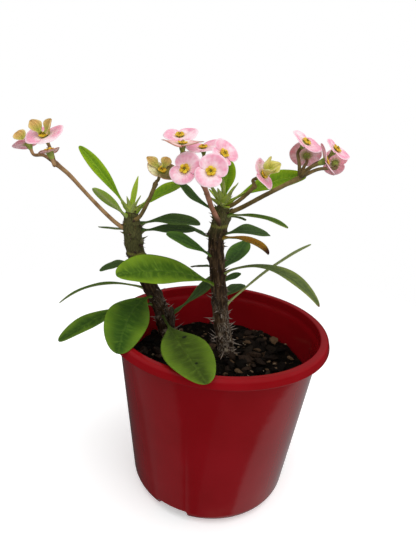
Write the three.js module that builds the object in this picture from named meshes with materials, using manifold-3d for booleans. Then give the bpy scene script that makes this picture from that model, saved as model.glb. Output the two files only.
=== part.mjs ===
// A crown of thorns with two stems, pale pink blooms and spoon-shaped leaves,
// growing in potting bark in a red plastic nursery pot.
// Lengths are millimetres, angles are degrees and +Z is up. The origin is the
// middle of the pot's flat base.
import * as THREE from "three";
import { mergeVertices } from "three/addons/utils/BufferGeometryUtils.js";
import Module from "manifold-3d";

const wasm = await Module();
wasm.setup();

// ---- driving dimensions ----
const GAP = 0.3; // clearance left between two pieces that touch
const SINK = 1.5; // how far spines and stalks root into what they grow from
const GOLDEN_ANGLE = 137.5; // turn from one leaf scar to the next up a stem
const CHIP_SEED = 11;
const SPINE_SEEDS = { main: 3, left: 5 };

const POT = {
  height: 113.4,
  rimRadius: 70,
  rimTopRadius: 67.8,
  rimHeight: 5.4,
  rimThroat: 63.7,
  rimEdge: 0.8, // how far the rim's edges are rounded off
  stepHeight: 107,
  wallTopRadius: 64.1,
  baseRadius: 52.2,
  cornerRadius: 7.8,
  cornerSteps: 2,
  wall: 1.4,
  floor: 2,
  sides: 40,
};
const DRAIN = { slotWidth: 21, slotHeight: 8, slotReach: 7, firstSlot: -114.5, slots: 3 };
const DRAIN_HOLES = { count: 6, radius: 4, circle: 30, sides: 12 };
const SOIL = {
  level: 84,
  edgeRise: 1.5, // how much higher it lies against the wall
  swell: 1.3, // how far its surface rises and falls
  faceting: 0.1, // room for the flats of the pot's facets
  rings: 7,
  sides: 28,
};
const BARK_CHIPS = {
  count: 20,
  reach: 56, // how far from the middle the outermost chip lies
  smallest: 2.4,
  largest: 5.2,
  shortest: 1.1, // least length of a chip, as a share of its width
  longest: 1.8, // and the most
  thinnest: 0.5, // least thickness, as a share of its width
  thickest: 0.8, // and the most
  tilt: 0.45, // most that a chip leans, in radians
  raise: 0.12, // share of a chip's size that its middle lies above the soil
};

const STEM = { sides: 11, steps: 13 };
const MAIN_STEM = {
  route: [
    [7, 11, 48], [6.5, 10, 84], [0.5, 10, 113], [-3, 10, 137], [-6.5, 10, 166], [-4.5, 9, 179],
    [-4, 8, 189],
  ],
  radii: [5, 5.6, 5.2, 5, 5, 5.4, 3.4],
};
const LEFT_STEM = {
  route: [
    [-33, 33, 50], [-37.5, 31, 84], [-41.5, 28, 106], [-48.5, 20, 126], [-57, 11, 151], [-59, 7, 170],
    [-60, 5, 180],
  ],
  radii: [4.6, 5.4, 5.2, 5, 5.6, 5.8, 3.4],
};
const SIDE_SHOOT = {
  route: [[-37.5, 30, 78], [-34.5, 27.5, 90], [-33, 25.5, 102], [-34, 24, 111]],
  radii: [3.2, 2.7, 2.3, 1.3],
};
const SPINES = {
  start: 87, // height of the first pair
  stop: 4, // how far below a stem's tip the last pair stands
  spacing: 2.4, // rise from one pair to the next
  uneven: 0.2, // most that a rise strays, as a share of it
  spread: 24, // angle between the two spines of a pair
  lowRise: 24, // how far the lowest spines point up
  highRise: 4, // and the highest
  swing: 16, // most that a spine strays up or down
  sway: 8, // most that it strays sideways
  longest: 9,
  shortest: 3.4,
  stunted: 0.65, // least share of its length that a spine has
  tall: 1.1, // and the most
  radius: 0.75,
  leastAngle: 0.5, // least angle to the stem, in radians
  clearance: 0.6, // room kept round a spine
};

const LEAF = {
  thickness: 0.8,
  steps: 8,
  crowding: 1.3, // above 1, the steps crowd towards the tip
  petiole: 0.85,
  stalk: 0.12, // share of its length before the blade, where a leaf gives none
  fold: 0.16, // rise of the margin over the rib, as a share of the half width
  widest: 0.64, // where the blade is widest, as a share of its length
  taper: 1.15, // how thin the blade is near its stalk
  roundness: 0.5, // and near its tip, where less is rounder
  broad: 11, // width above which a blade has two panels on each side of its rib
};
const YOUNG_LEAF = {
  ...LEAF,
  thickness: 0.7,
  steps: 4,
  crowding: 1,
  petiole: 0.8,
  fold: 0.3,
  widest: 0.45,
  taper: 0.8,
  roundness: 0.9,
};
const YOUNG_BRACT = { ...YOUNG_LEAF, fold: 0.4, widest: 0.56, taper: 0.7, roundness: 0.45 };
const YOUNG_DROOP = 10;
const YOUNG_SEAT = 1.2; // how far above a cup's middle a young bract stands

const BRACT = {
  thickness: 0.7,
  hole: 2.35,
  notch: 0.36, // depth of the notch between two bracts, as a share of their radius
  notchPower: 0.4,
  lift: 0.16, // rise of a bract's middle, as a share of its radius
  wave: 0.3,
  sides: 16,
  rings: 2,
};
const CUP = {
  radius: 1.9,
  depth: 4,
  collar: 0.75, // height at which the glands spread out
  gland: 3, // outer radius of the ring of glands
  glandRise: 1.2,
  brim: 1.9,
  height: 2.2,
  sides: 6,
};
const STALK = { steps: 9, sides: 6 };
const PEDICEL = { radii: [1.3, 1.1, 1, 1.1], straight: 4, arch: 0.08, steps: 4, sides: 5 };

// ---- colours and finishes ----
const FINISH = {
  pot: { color: 0xa51420, roughness: 0.35, metalness: 0 },
  soil: { color: 0x2b211b, roughness: 0.95, metalness: 0 },
  bark: { color: 0x54473a, roughness: 0.85, metalness: 0 },
  leaf: { color: 0x4d7a24, roughness: 0.5, metalness: 0 },
  darkLeaf: { color: 0x33502b, roughness: 0.5, metalness: 0 },
  brightLeaf: { color: 0x7fae14, roughness: 0.5, metalness: 0 },
  yellowLeaf: { color: 0xb08a2c, roughness: 0.6, metalness: 0 },
  stalk: { color: 0x7d6a36, roughness: 0.6, metalness: 0 },
  pinkBract: { color: 0xf0c4cf, roughness: 0.55, metalness: 0 },
  agedBract: { color: 0xd9c79a, roughness: 0.65, metalness: 0 },
};

// Each leaf grows from its stem at a height. Its rib sets out on a heading
// (0 is +X, 90 is +Y) at a rise, and bends down by its droop and sideways by its turn.
// A roll above 0 lifts the edge on the right hand of its heading. Its stalk is the
// share of its length before the blade. The columns are:
// name, stem, height, heading, rise, droop, length, width, roll, finish, turn, stalk
const LEAVES = [
  ["leaf_left_upright", "left", 177, 174, 57, 14, 50, 9, 50, "brightLeaf"],
  ["leaf_left_folded", "left", 174, -125, 36, 0, 36, 8, -34, "leaf"],
  ["leaf_left_inward", "left", 176, 22, 48, 30, 40, 14, -18, "brightLeaf"],
  ["leaf_left_thin", "left", 168, 149, -8, -2, 30, 7, -8, "leaf"],
  ["leaf_left_arched_upper", "left", 170, 4, 24, 38, 43, 15, -20, "darkLeaf"],
  ["leaf_left_arched_lower", "left", 167, 9, 8, 10, 39, 13, -20, "darkLeaf"],
  ["leaf_left_back", "left", 146, 158, -16, 10, 33, 12, 24, "darkLeaf"],
  ["leaf_left_long", "left", 122, -165, 29, 71, 66, 12, -12, "leaf"],
  ["leaf_left_low_outer", "left", 111.5, -135, 14, 39, 76, 16, 8, "leaf", 0, 0.26],
  ["leaf_left_low_front", "left", 118, -108, 20, 48, 77, 28, 14, "leaf", 22, 0.1],
  ["leaf_left_spotted", "left", 101, -82, 21, 28, 112, 29, -8, "leaf", 20, 0.34],
  ["leaf_shoot", "shoot", 105, 14, 40, -6, 46, 12, -22, "darkLeaf"],
  ["leaf_main_left_mid", "main", 152, -148, 34, 14, 41, 12.5, 36, "leaf"],
  ["leaf_main_left_thin", "main", 166, 127, -8, -19, 35, 10, -10, "darkLeaf"],
  ["leaf_main_left_dark", "main", 147, 123, -12, 10, 34, 9, 0, "darkLeaf"],
  ["leaf_main_broad", "main", 133, -144, 34, 40, 75, 27, 28, "leaf", 0, 0.05],
  ["leaf_main_right_narrow", "main", 180, -38, 20, 36, 47, 9, -4, "leaf"],
  ["leaf_main_right_short", "main", 179, 48, 8, 34, 25, 8, 0, "darkLeaf"],
  ["leaf_main_right_back", "main", 167, 41, 10, 28, 50, 16, -22, "darkLeaf"],
  ["leaf_main_yellowed", "main", 165, -30, 27, 62, 38, 8, -16, "yellowLeaf"],
  ["leaf_main_right_broad", "main", 143, 67, 2, -20, 54, 17, 0, "darkLeaf"],
  ["leaf_main_right_arched", "main", 140, -29, 46, 96, 76, 14, -6, "leaf"],
  ["leaf_main_right_long", "main", 117, 22, 45, 21, 78, 12, 38, "leaf"],
  ["leaf_main_right_small", "main", 136, 63, -8, -11, 34, 9, 0, "darkLeaf"],
  ["leaf_main_back_low", "main", 124, 67, 0, 6, 46, 13, 0, "darkLeaf"],
  ["leaf_main_crown_right", "main", 186, 4, 42, 36, 54, 16, -40, "brightLeaf"],
  ["leaf_main_crown_back", "main", 186, 80, 74, 8, 29, 12, 0, "brightLeaf"],
  ["leaf_main_crown_left", "main", 183, 183, 10, -44, 35, 12, 20, "darkLeaf"],
];

// The youngest leaves stand in a tuft on each stem's tip. The columns are:
// heading, rise, length, width
const TUFTS = [
  {
    name: "tuft_left",
    stem: "left",
    height: 177,
    leaves: [[70, 76, 25, 5], [150, 46, 11, 4], [-60, 58, 12, 4], [-150, 64, 13, 4], [10, 52, 12, 4]],
  },
  {
    name: "tuft_main",
    stem: "main",
    height: 186,
    leaves: [
      [-120, 60, 15, 5], [-65, 52, 16, 5], [30, 66, 15, 4], [150, 46, 15, 5], [-165, 36, 15, 5],
      [-95, 24, 13, 4],
    ],
  },
];

// Each spray is one forked stalk with its cups. A bloom is placed by the middle of its
// cup and faces along a heading and a rise. Its two bracts lie along its spread angle.
// A young bract stands on a bloom, given by its place in the list. The columns are:
// blooms: name, middle, heading, rise, spread, radius, finish
// young: bloom, heading, rise, length, width, roll
const SPRAYS = [
  {
    name: "stalk_left_long",
    stem: "left",
    route: [
      [-59, 7, 167], [-66, 5, 170], [-75, 3, 178], [-85, -2, 190], [-93, -6, 200], [-100, -9, 206.5],
    ],
    radii: [1.8, 1.4, 1.3, 1.2, 1.3, 1.4],
    blooms: [
      ["bloom_left_tip", [-102.5, -14, 219.7], -112, 58, 6, 11.4, "pinkBract"],
      ["bloom_left_outer", [-118.5, 2, 214.6], 150, 54, -65, 8.6, "pinkBract"],
      ["bloom_left_young", [-97.5, -21, 212.3], 160, 68, -70, 5.8, "agedBract"],
    ],
    young: [[0, 172, 56, 9, 4.8, 50], [0, -8, 74, 9, 5.4, -50], [1, 165, 46, 7.5, 5, 50]],
  },
  {
    name: "stalk_left_short",
    stem: "left",
    route: [[-59, 6, 174], [-54, 1, 177], [-48, -2, 188], [-44, -4, 198]],
    radii: [1.7, 1.3, 1.2, 1.2],
    blooms: [["bloom_aged", [-40.5, -8, 206], -60, 54, -30, 9, "agedBract"]],
    young: [[0, 172, 44, 9.5, 4.5, 40], [0, 62, 60, 8, 4, -30]],
  },
  {
    name: "stalk_centre",
    stem: "main",
    route: [[-6, 9, 172], [-6, 4, 177], [-11, -2, 187], [-15, -6, 197], [-19, -8, 204]],
    radii: [2, 1.7, 1.6, 1.6, 1.6],
    blooms: [
      ["bloom_centre_top", [-32.2, 6, 224.9], -100, 64, 14, 10.3, "pinkBract"],
      ["bloom_centre_flat", [-28.6, -17, 221], -90, 84, 4, 11.5, "pinkBract"],
      ["bloom_centre_back", [-18.6, 13.6, 219], -112, 72, 16, 12, "pinkBract"],
      ["bloom_centre_left", [-26, -24, 209], -105, 30, 70, 9.4, "pinkBract"],
      ["bloom_centre_front", [-12.6, -29, 209.2], -88, 30, 66, 9.7, "pinkBract"],
      ["bloom_centre_right", [-6.8, -13, 217.6], -50, 38, 40, 9, "pinkBract"],
    ],
    young: [],
  },
  {
    name: "stalk_right_short",
    stem: "main",
    route: [[-5, 9, 184], [2, 3, 189], [8, -1, 195], [12.5, -4, 201]],
    radii: [1.7, 1.3, 1.2, 1.2],
    blooms: [["bloom_right_single", [16, -8, 208], -34, 32, 80, 9.4, "pinkBract"]],
    young: [[0, 2, 48, 9.5, 6, -50], [0, -60, 80, 10.5, 5.5, -30], [0, -62, 30, 7, 5.5, -10]],
  },
  {
    name: "stalk_right_long",
    stem: "main",
    route: [[-5, 9, 181], [4, 7, 185], [21, 0, 197], [38, -1, 207.5]],
    radii: [1.9, 1.5, 1.4, 1.4],
    blooms: [
      ["bloom_right_upper", [39.3, 3, 226.6], -46, 52, -52, 10, "pinkBract"],
      ["bloom_right_away", [43.4, 15, 219.3], 84, 30, 4, 9.8, "pinkBract"],
      ["bloom_right_side", [48.1, -11.5, 218.2], -8, 30, 92, 9.4, "pinkBract"],
      ["bloom_right_outer", [56.6, 2, 224], -40, 48, -60, 8.4, "pinkBract"],
      ["bloom_right_outer_away", [60.9, 15, 216.1], 84, 20, 92, 8.6, "pinkBract"],
    ],
    young: [],
  },
];

// ---- vector and random helpers ----
const vec = (x, y, z) => new THREE.Vector3(x, y, z);
const rad = THREE.MathUtils.degToRad;
const { clamp, lerp } = THREE.MathUtils;

function heading(azimuth, rise) {
  const flat = Math.cos(rad(rise));
  return vec(flat * Math.cos(rad(azimuth)), flat * Math.sin(rad(azimuth)), Math.sin(rad(rise)));
}

// A seeded generator, so every build places the same spines and bark.
function seeded(seed) {
  let state = seed;
  return (low = 0, high = 1) => {
    state = (state * 1664525 + 1013904223) % 4294967296;
    return low + ((high - low) * state) / 4294967296;
  };
}

// ---- solids ----
function solidOf(geometry) {
  const bare = geometry.clone();
  bare.deleteAttribute("normal");
  bare.deleteAttribute("uv");
  const merged = mergeVertices(bare, 1e-4);
  return new wasm.Manifold(
    new wasm.Mesh({
      numProp: 3,
      vertProperties: new Float32Array(merged.attributes.position.array),
      triVerts: new Uint32Array(merged.index.array),
    }),
  );
}

function geometryOf(solid) {
  const mesh = solid.getMesh();
  const geometry = new THREE.BufferGeometry();
  geometry.setAttribute("position", new THREE.BufferAttribute(mesh.vertProperties, 3));
  geometry.setIndex(new THREE.BufferAttribute(mesh.triVerts, 1));
  geometry.computeVertexNormals();
  return geometry;
}

function indexed(points, triangles) {
  const geometry = new THREE.BufferGeometry();
  geometry.setAttribute("position", new THREE.Float32BufferAttribute(points.flatMap((p) => p.toArray()), 3));
  geometry.setIndex(triangles);
  return geometry;
}

// Joins rings of points, each with the same count, into one closed skin with flat ends.
function loft(rings) {
  const sides = rings[0].length;
  const middle = (ring) => ring.reduce((sum, p) => sum.add(p), vec(0, 0, 0)).divideScalar(sides);
  const points = [...rings.flat(), middle(rings[0]), middle(rings.at(-1))];
  const foot = points.length - 2;
  const head = points.length - 1;
  const last = (rings.length - 1) * sides;
  const triangles = [];
  for (let k = 0; k < sides; k++) {
    const next = (k + 1) % sides;
    for (let i = 0; i < rings.length - 1; i++) {
      const a = i * sides + k;
      const b = i * sides + next;
      triangles.push(a, b, b + sides, a, b + sides, a + sides);
    }
    triangles.push(foot, next, k, head, last + k, last + next);
  }
  return indexed(points, triangles);
}

// Gives a grid of points a thickness along its normals, split alike on both faces.
function thickSheet(grid, normals, thickness, wraps) {
  const rows = grid.length;
  const columns = grid[0].length;
  const face = (side) => grid.flatMap((row, i) =>
    row.map((p, j) => p.clone().addScaledVector(normals[i][j], (side * thickness) / 2)));
  const points = [...face(1), ...face(-1)];
  const under = rows * columns;
  const at = (i, j) => i * columns + (j % columns);
  const triangles = [];
  const quad = (a, b, c, d) => triangles.push(a, b, c, a, c, d);
  const spans = wraps ? columns : columns - 1;
  for (let i = 0; i < rows - 1; i++) {
    for (let j = 0; j < spans; j++) {
      const [a, b, c, d] = [at(i, j), at(i + 1, j), at(i + 1, j + 1), at(i, j + 1)];
      triangles.push(a, b, c, a, c, d);
      triangles.push(a + under, c + under, b + under, a + under, d + under, c + under);
    }
  }
  for (let j = 0; j < spans; j++) {
    quad(at(0, j), at(0, j + 1), at(0, j + 1) + under, at(0, j) + under);
    const end = rows - 1;
    quad(at(end, j + 1), at(end, j), at(end, j) + under, at(end, j + 1) + under);
  }
  if (!wraps) {
    for (let i = 0; i < rows - 1; i++) {
      const edge = columns - 1;
      quad(at(i + 1, 0), at(i, 0), at(i, 0) + under, at(i + 1, 0) + under);
      quad(at(i, edge), at(i + 1, edge), at(i + 1, edge) + under, at(i, edge) + under);
    }
  }
  return indexed(points, triangles);
}

// A round rod along a smooth curve, as thick at each point as its radii say.
function rod(route, radii, steps, sides, extra = 0) {
  const curve = new THREE.CatmullRomCurve3(route.map((p) => vec(...p)), false, "centripetal");
  const rings = [];
  let across = vec(0, 1, 0);
  for (let i = 0; i <= steps; i++) {
    const t = i / steps;
    const along = curve.getTangent(t);
    across = across.clone().addScaledVector(along, -across.dot(along)).normalize();
    const other = along.clone().cross(across);
    const span = t * (radii.length - 1);
    const k = Math.min(Math.floor(span), radii.length - 2);
    const radius = lerp(radii[k], radii[k + 1], span - k) + extra;
    const beyond = i === 0 ? -extra : extra;
    const centre = curve.getPoint(t).addScaledVector(along, i % steps ? 0 : beyond);
    rings.push(Array.from({ length: sides }, (_, n) => {
      const turn = (2 * Math.PI * n) / sides;
      const out = across.clone().multiplyScalar(Math.cos(turn)).addScaledVector(other, Math.sin(turn));
      return centre.clone().addScaledVector(out, radius);
    }));
  }
  return solidOf(loft(rings));
}

function placed(geometry, at, along, spin = 0) {
  const turn = new THREE.Quaternion().setFromUnitVectors(vec(0, 0, 1), along);
  geometry.rotateZ(rad(spin));
  geometry.applyQuaternion(turn);
  geometry.translate(at.x, at.y, at.z);
  return geometry;
}

// ---- pot ----
function potWallRadius(z) {
  return lerp(POT.baseRadius, POT.wallTopRadius, z / (POT.height - POT.rimHeight));
}

// A quarter turn between the flat base and the wall, set in by the wall's thickness.
function potCorner(inset, floorZ) {
  const radius = POT.cornerRadius - inset;
  const middle = new THREE.Vector2(POT.baseRadius - inset - radius, floorZ + radius);
  const slope = Math.atan2(POT.wallTopRadius - POT.baseRadius, POT.height - POT.rimHeight);
  const sweep = Math.PI / 2 - slope;
  return Array.from({ length: POT.cornerSteps + 1 }, (_, k) => {
    const turn = (k * sweep) / POT.cornerSteps - Math.PI / 2;
    return new THREE.Vector2(radius * Math.cos(turn), radius * Math.sin(turn)).add(middle);
  });
}

function potBody() {
  const { height, rimRadius, rimTopRadius, rimThroat, rimEdge, stepHeight, wall, floor } = POT;
  const rimBottom = height - POT.rimHeight;
  const at = (radius, z) => new THREE.Vector2(radius, z);
  const profile = [
    at(0, 0),
    ...potCorner(0, 0),
    at(POT.wallTopRadius, rimBottom),
    at(rimRadius - rimEdge, rimBottom),
    at(rimRadius, rimBottom + rimEdge),
    at(rimTopRadius + rimEdge / 2, height - rimEdge),
    at(rimTopRadius - rimEdge, height),
    at(rimThroat + rimEdge, height),
    at(rimThroat, height - rimEdge),
    at(rimThroat, stepHeight),
    at(potWallRadius(stepHeight) - wall, stepHeight - rimEdge),
    ...potCorner(wall, floor).reverse(),
    at(0, floor),
  ];
  return solidOf(new THREE.LatheGeometry(profile, POT.sides).rotateX(Math.PI / 2));
}

function drainSlot(angle) {
  const box = new THREE.BoxGeometry(4 * DRAIN.slotReach, DRAIN.slotWidth, 2 * DRAIN.slotHeight);
  box.translate(POT.baseRadius + DRAIN.slotReach, 0, 0);
  box.rotateZ(rad(angle));
  return solidOf(box);
}

function drainHole(angle) {
  const { radius, circle, sides } = DRAIN_HOLES;
  const hole = new THREE.CylinderGeometry(radius, radius, 4 * POT.floor, sides);
  hole.rotateX(Math.PI / 2);
  hole.translate(circle, 0, 0);
  hole.rotateZ(rad(angle));
  return solidOf(hole);
}

function pot() {
  const cuts = [];
  for (let k = 0; k < DRAIN.slots; k++) cuts.push(drainSlot(DRAIN.firstSlot + (k * 360) / DRAIN.slots));
  for (let k = 0; k < DRAIN_HOLES.count; k++) cuts.push(drainHole(((k + 0.5) * 360) / DRAIN_HOLES.count));
  return potBody().subtract(wasm.Manifold.union(cuts));
}

// ---- stems ----
const STEMS = { main: MAIN_STEM, left: LEFT_STEM, shoot: SIDE_SHOOT };

function stemCurve(stem) {
  return new THREE.CatmullRomCurve3(STEMS[stem].route.map((p) => vec(...p)), false, "centripetal");
}

// The point of a stem's axis at a height, found by halving.
function stemPoint(stem, z) {
  const curve = stemCurve(stem);
  let low = 0;
  let high = 1;
  for (let n = 0; n < 24; n++) {
    const half = (low + high) / 2;
    if (curve.getPoint(half).z < z) low = half;
    else high = half;
  }
  return { point: curve.getPoint(low), along: curve.getTangent(low), t: low };
}

function stemRadius(stem, t) {
  const { radii } = STEMS[stem];
  const span = t * (radii.length - 1);
  const k = Math.min(Math.floor(span), radii.length - 2);
  return lerp(radii[k], radii[k + 1], span - k);
}

function stemCore(stem, extra = 0) {
  const { route, radii } = STEMS[stem];
  return rod(route, radii, STEM.steps, STEM.sides, extra);
}

// Spines stand in pairs round a stem, long and raised low down, short and level higher up.
// A spine is left out where it would touch one of the obstacles.
function stemSpines(stem, seed, obstacles) {
  const random = seeded(seed);
  const { start, spacing, uneven, spread, sway, swing, radius, clearance } = SPINES;
  const end = STEMS[stem].route.at(-1)[2] - SPINES.stop;
  const spines = [];
  for (let z = start, n = 0; z < end; z += spacing * random(1 - uneven, 1 + uneven), n++) {
    const { point, along, t } = stemPoint(stem, z);
    const height = (z - start) / (end - start);
    for (const side of [-1, 1]) {
      const angle = n * GOLDEN_ANGLE + (side * spread) / 2 + random(-sway, sway);
      const out = heading(angle, lerp(SPINES.lowRise, SPINES.highRise, height) + random(-swing, swing));
      const share = random(SPINES.stunted, SPINES.tall);
      const length = lerp(SPINES.longest, SPINES.shortest, height) * share + SINK;
      const foot = point.clone().addScaledVector(out, stemRadius(stem, t) - SINK);
      const reach = needle(foot, out, length + clearance, radius + clearance);
      const leans = along.angleTo(out) < SPINES.leastAngle;
      if (leans || obstacles.some((other) => meet(reach, other))) continue;
      spines.push(needle(foot, out, length, radius));
    }
  }
  return spines;
}

function needle(foot, along, length, radius) {
  const cone = new THREE.ConeGeometry(radius, length, 3);
  cone.rotateX(Math.PI / 2);
  cone.translate(0, 0, length / 2);
  return solidOf(placed(cone, foot, along));
}

function meet(a, b) {
  const p = a.boundingBox();
  const q = b.boundingBox();
  for (let k = 0; k < 3; k++) {
    if (p.min[k] > q.max[k] || q.min[k] > p.max[k]) return false;
  }
  return !a.intersect(b).isEmpty();
}

// ---- leaves ----
function leafHalfWidth(spec, shape, s) {
  const stalk = spec.stalk ?? shape.stalk;
  const u = clamp((s - stalk) / (1 - stalk), 0, 1);
  const power = Math.log(0.5) / Math.log(shape.widest);
  const fullness = lerp(shape.taper, shape.roundness, u);
  const blade = (spec.width / 2) * Math.max(Math.sin(Math.PI * u ** power), 0) ** fullness;
  return Math.max(shape.petiole, blade);
}

function leafBlade(foot, spec, shape) {
  const { azimuth, rise, droop, turn = 0, length, roll } = spec;
  const columns = spec.width > shape.broad ? [1, 0.5, 0, -0.5, -1] : [1, 0, -1];
  const steps = shape.steps;
  const grid = [];
  const normals = [];
  const rib = foot.clone();
  const share = (i) => 1 - (1 - i / steps) ** shape.crowding;
  for (let i = 0; i <= steps; i++) {
    const s = share(i);
    const along = heading(azimuth + turn * s, rise - droop * s);
    const level = vec(Math.sin(rad(azimuth + turn * s)), -Math.cos(rad(azimuth + turn * s)), 0);
    const across = level.clone().applyAxisAngle(along, -rad(roll));
    const up = across.clone().cross(along);
    const half = leafHalfWidth(spec, shape, s);
    grid.push(columns.map((v) => {
      const off = across.clone().multiplyScalar(v * half);
      return rib.clone().add(off).addScaledVector(up, shape.fold * Math.abs(v) * half);
    }));
    normals.push(columns.map(() => up));
    const next = share(Math.min(i + 1, steps));
    const mid = (s + next) / 2;
    rib.addScaledVector(heading(azimuth + turn * mid, rise - droop * mid), length * (next - s));
  }
  return solidOf(thickSheet(grid, normals, shape.thickness, false));
}

function leaf([, stem, height, azimuth, rise, droop, length, width, roll, , turn, stalk]) {
  const spec = { azimuth, rise, droop, turn, length, width, roll, stalk };
  return leafBlade(stemPoint(stem, height).point, spec, LEAF);
}

function youngBlade(foot, [azimuth, rise, length, width, roll = 0], shape) {
  return leafBlade(foot, { azimuth, rise, droop: YOUNG_DROOP, length, width, roll }, shape);
}

function tuft(spec) {
  const foot = stemPoint(spec.stem, spec.height).point;
  return wasm.Manifold.union(spec.leaves.map((row) => youngBlade(foot, row, YOUNG_LEAF)));
}

// ---- blooms ----
function bloomOf([name, middle, azimuth, rise, spread, size, finish]) {
  const facing = heading(azimuth, rise);
  const level = vec(-Math.sin(rad(azimuth)), Math.cos(rad(azimuth)), 0);
  const spreadAxis = level.applyAxisAngle(facing, rad(spread));
  const side = facing.clone().cross(spreadAxis);
  const frame = new THREE.Matrix4().makeBasis(spreadAxis, side, facing).setPosition(...middle);
  return { name, middle: vec(...middle), facing, frame, size, finish };
}

// Two kidney-shaped bracts that meet round the cup, as one wavy dish with two notches.
function bractPair({ frame, facing, size }) {
  const grid = [];
  for (let i = 0; i <= BRACT.rings; i++) {
    const row = [];
    for (let j = 0; j < BRACT.sides; j++) {
      const turn = (2 * Math.PI * (j + 0.5)) / BRACT.sides;
      const along = Math.abs(Math.cos(turn));
      const edge = size * (1 - BRACT.notch + BRACT.notch * along ** BRACT.notchPower);
      const radius = lerp(BRACT.hole, edge, i / BRACT.rings);
      const reach = (radius - BRACT.hole) / (size - BRACT.hole);
      const height = BRACT.lift * size * along * reach + BRACT.wave * reach * Math.sin(6 * turn);
      row.push(vec(radius * Math.cos(turn), radius * Math.sin(turn), height).applyMatrix4(frame));
    }
    grid.push(row);
  }
  const normals = grid.map((row) => row.map(() => facing));
  return solidOf(thickSheet(grid, normals, BRACT.thickness, true));
}

// The green cup in the middle of a bloom, with its ring of glands on top.
function cup({ frame }) {
  const profile = [
    [0, -CUP.depth],
    [CUP.radius, -0.4 * CUP.depth],
    [CUP.radius, CUP.collar],
    [CUP.gland, CUP.glandRise],
    [0.6 * CUP.gland, CUP.brim],
    [0, CUP.height],
  ].map(([r, z]) => new THREE.Vector2(r, z));
  return solidOf(new THREE.LatheGeometry(profile, CUP.sides).rotateX(Math.PI / 2).applyMatrix4(frame));
}

function pedicel(fork, { middle, facing }) {
  const end = middle.clone().addScaledVector(facing, 1 - CUP.depth);
  const before = end.clone().addScaledVector(facing, -PEDICEL.straight);
  const half = fork.clone().lerp(before, 0.5);
  half.z += PEDICEL.arch * end.distanceTo(fork);
  const route = [fork, half, before, end].map((p) => p.toArray());
  return rod(route, PEDICEL.radii, PEDICEL.steps, PEDICEL.sides);
}

function spray(spec, blooms) {
  const fork = vec(...spec.route.at(-1));
  const pieces = [rod(spec.route, spec.radii, STALK.steps, STALK.sides)];
  for (const bloom of blooms) pieces.push(pedicel(fork, bloom), cup(bloom));
  for (const [index, ...row] of spec.young) {
    const { middle, facing } = blooms[index];
    const foot = middle.clone().addScaledVector(facing, YOUNG_SEAT);
    pieces.push(youngBlade(foot, row, YOUNG_BRACT));
  }
  return wasm.Manifold.union(pieces);
}

// ---- soil ----
function soilHeight(x, y) {
  const radius = Math.hypot(x, y);
  const ripple = Math.sin(x * 0.21 + 1.3) * Math.cos(y * 0.17 - 0.6) + 0.5 * Math.sin(x * 0.47 - y * 0.39);
  return SOIL.level + SOIL.swell * ripple + SOIL.edgeRise * (radius / POT.wallTopRadius) ** 4;
}

// The soil fills the pot, a gap clear of its wall, floor and rounded corner.
function soilBody() {
  const rings = [];
  const inner = (z) => potWallRadius(z) - POT.wall - GAP - SOIL.faceting;
  const ringAt = (radius, z) => Array.from({ length: SOIL.sides }, (_, n) => {
    const turn = (2 * Math.PI * n) / SOIL.sides;
    return vec(radius * Math.cos(turn), radius * Math.sin(turn), z);
  });
  const foot = POT.floor + GAP;
  const corner = POT.cornerRadius;
  const halfway = (1 - Math.SQRT1_2) * corner; // the middle of a quarter turn, from its two sides
  rings.push(ringAt(inner(0) - corner, foot));
  rings.push(ringAt(inner(0) - halfway, foot + halfway));
  rings.push(ringAt(inner(0), foot + corner));
  for (let k = 0; k < SOIL.rings; k++) {
    const radius = inner(SOIL.level - SOIL.swell) * (1 - k / SOIL.rings);
    rings.push(ringAt(radius, 0).map((p) => p.setZ(soilHeight(p.x, p.y))));
  }
  return solidOf(loft(rings));
}

// Flat chips of bark and round bits of grit, half sunk in the surface.
function barkChips() {
  const random = seeded(CHIP_SEED);
  const { count, reach, smallest, largest, shortest, longest, thinnest, thickest, tilt, raise } = BARK_CHIPS;
  const chips = [];
  for (let n = 0; n < count; n++) {
    const turn = rad(n * GOLDEN_ANGLE);
    const radius = reach * Math.sqrt((n + 0.5) / count);
    const x = radius * Math.cos(turn);
    const y = radius * Math.sin(turn);
    const size = random(smallest, largest);
    const length = size * random(shortest, longest);
    const chip = new THREE.BoxGeometry(length, size, size * random(thinnest, thickest));
    chip.rotateX(random(-tilt, tilt));
    chip.rotateY(random(-tilt, tilt));
    chip.rotateZ(random(0, Math.PI));
    chip.translate(x, y, soilHeight(x, y) + raise * size);
    chips.push(solidOf(chip));
  }
  return chips;
}

function soil(buried) {
  const holes = wasm.Manifold.union(buried);
  const body = wasm.Manifold.union([soilBody(), ...barkChips()]);
  return largest(body.subtract(holes));
}

// ---- assembly ----
function mesh(name, solid, finish) {
  const piece = new THREE.Mesh(geometryOf(solid), new THREE.MeshStandardMaterial(FINISH[finish]));
  piece.name = name;
  return piece;
}

// The largest body of a solid, without the scraps that a cut leaves loose.
function largest(solid) {
  const bodies = solid.decompose();
  return bodies.reduce((best, body) => (body.volume() > best.volume() ? body : best));
}

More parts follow.
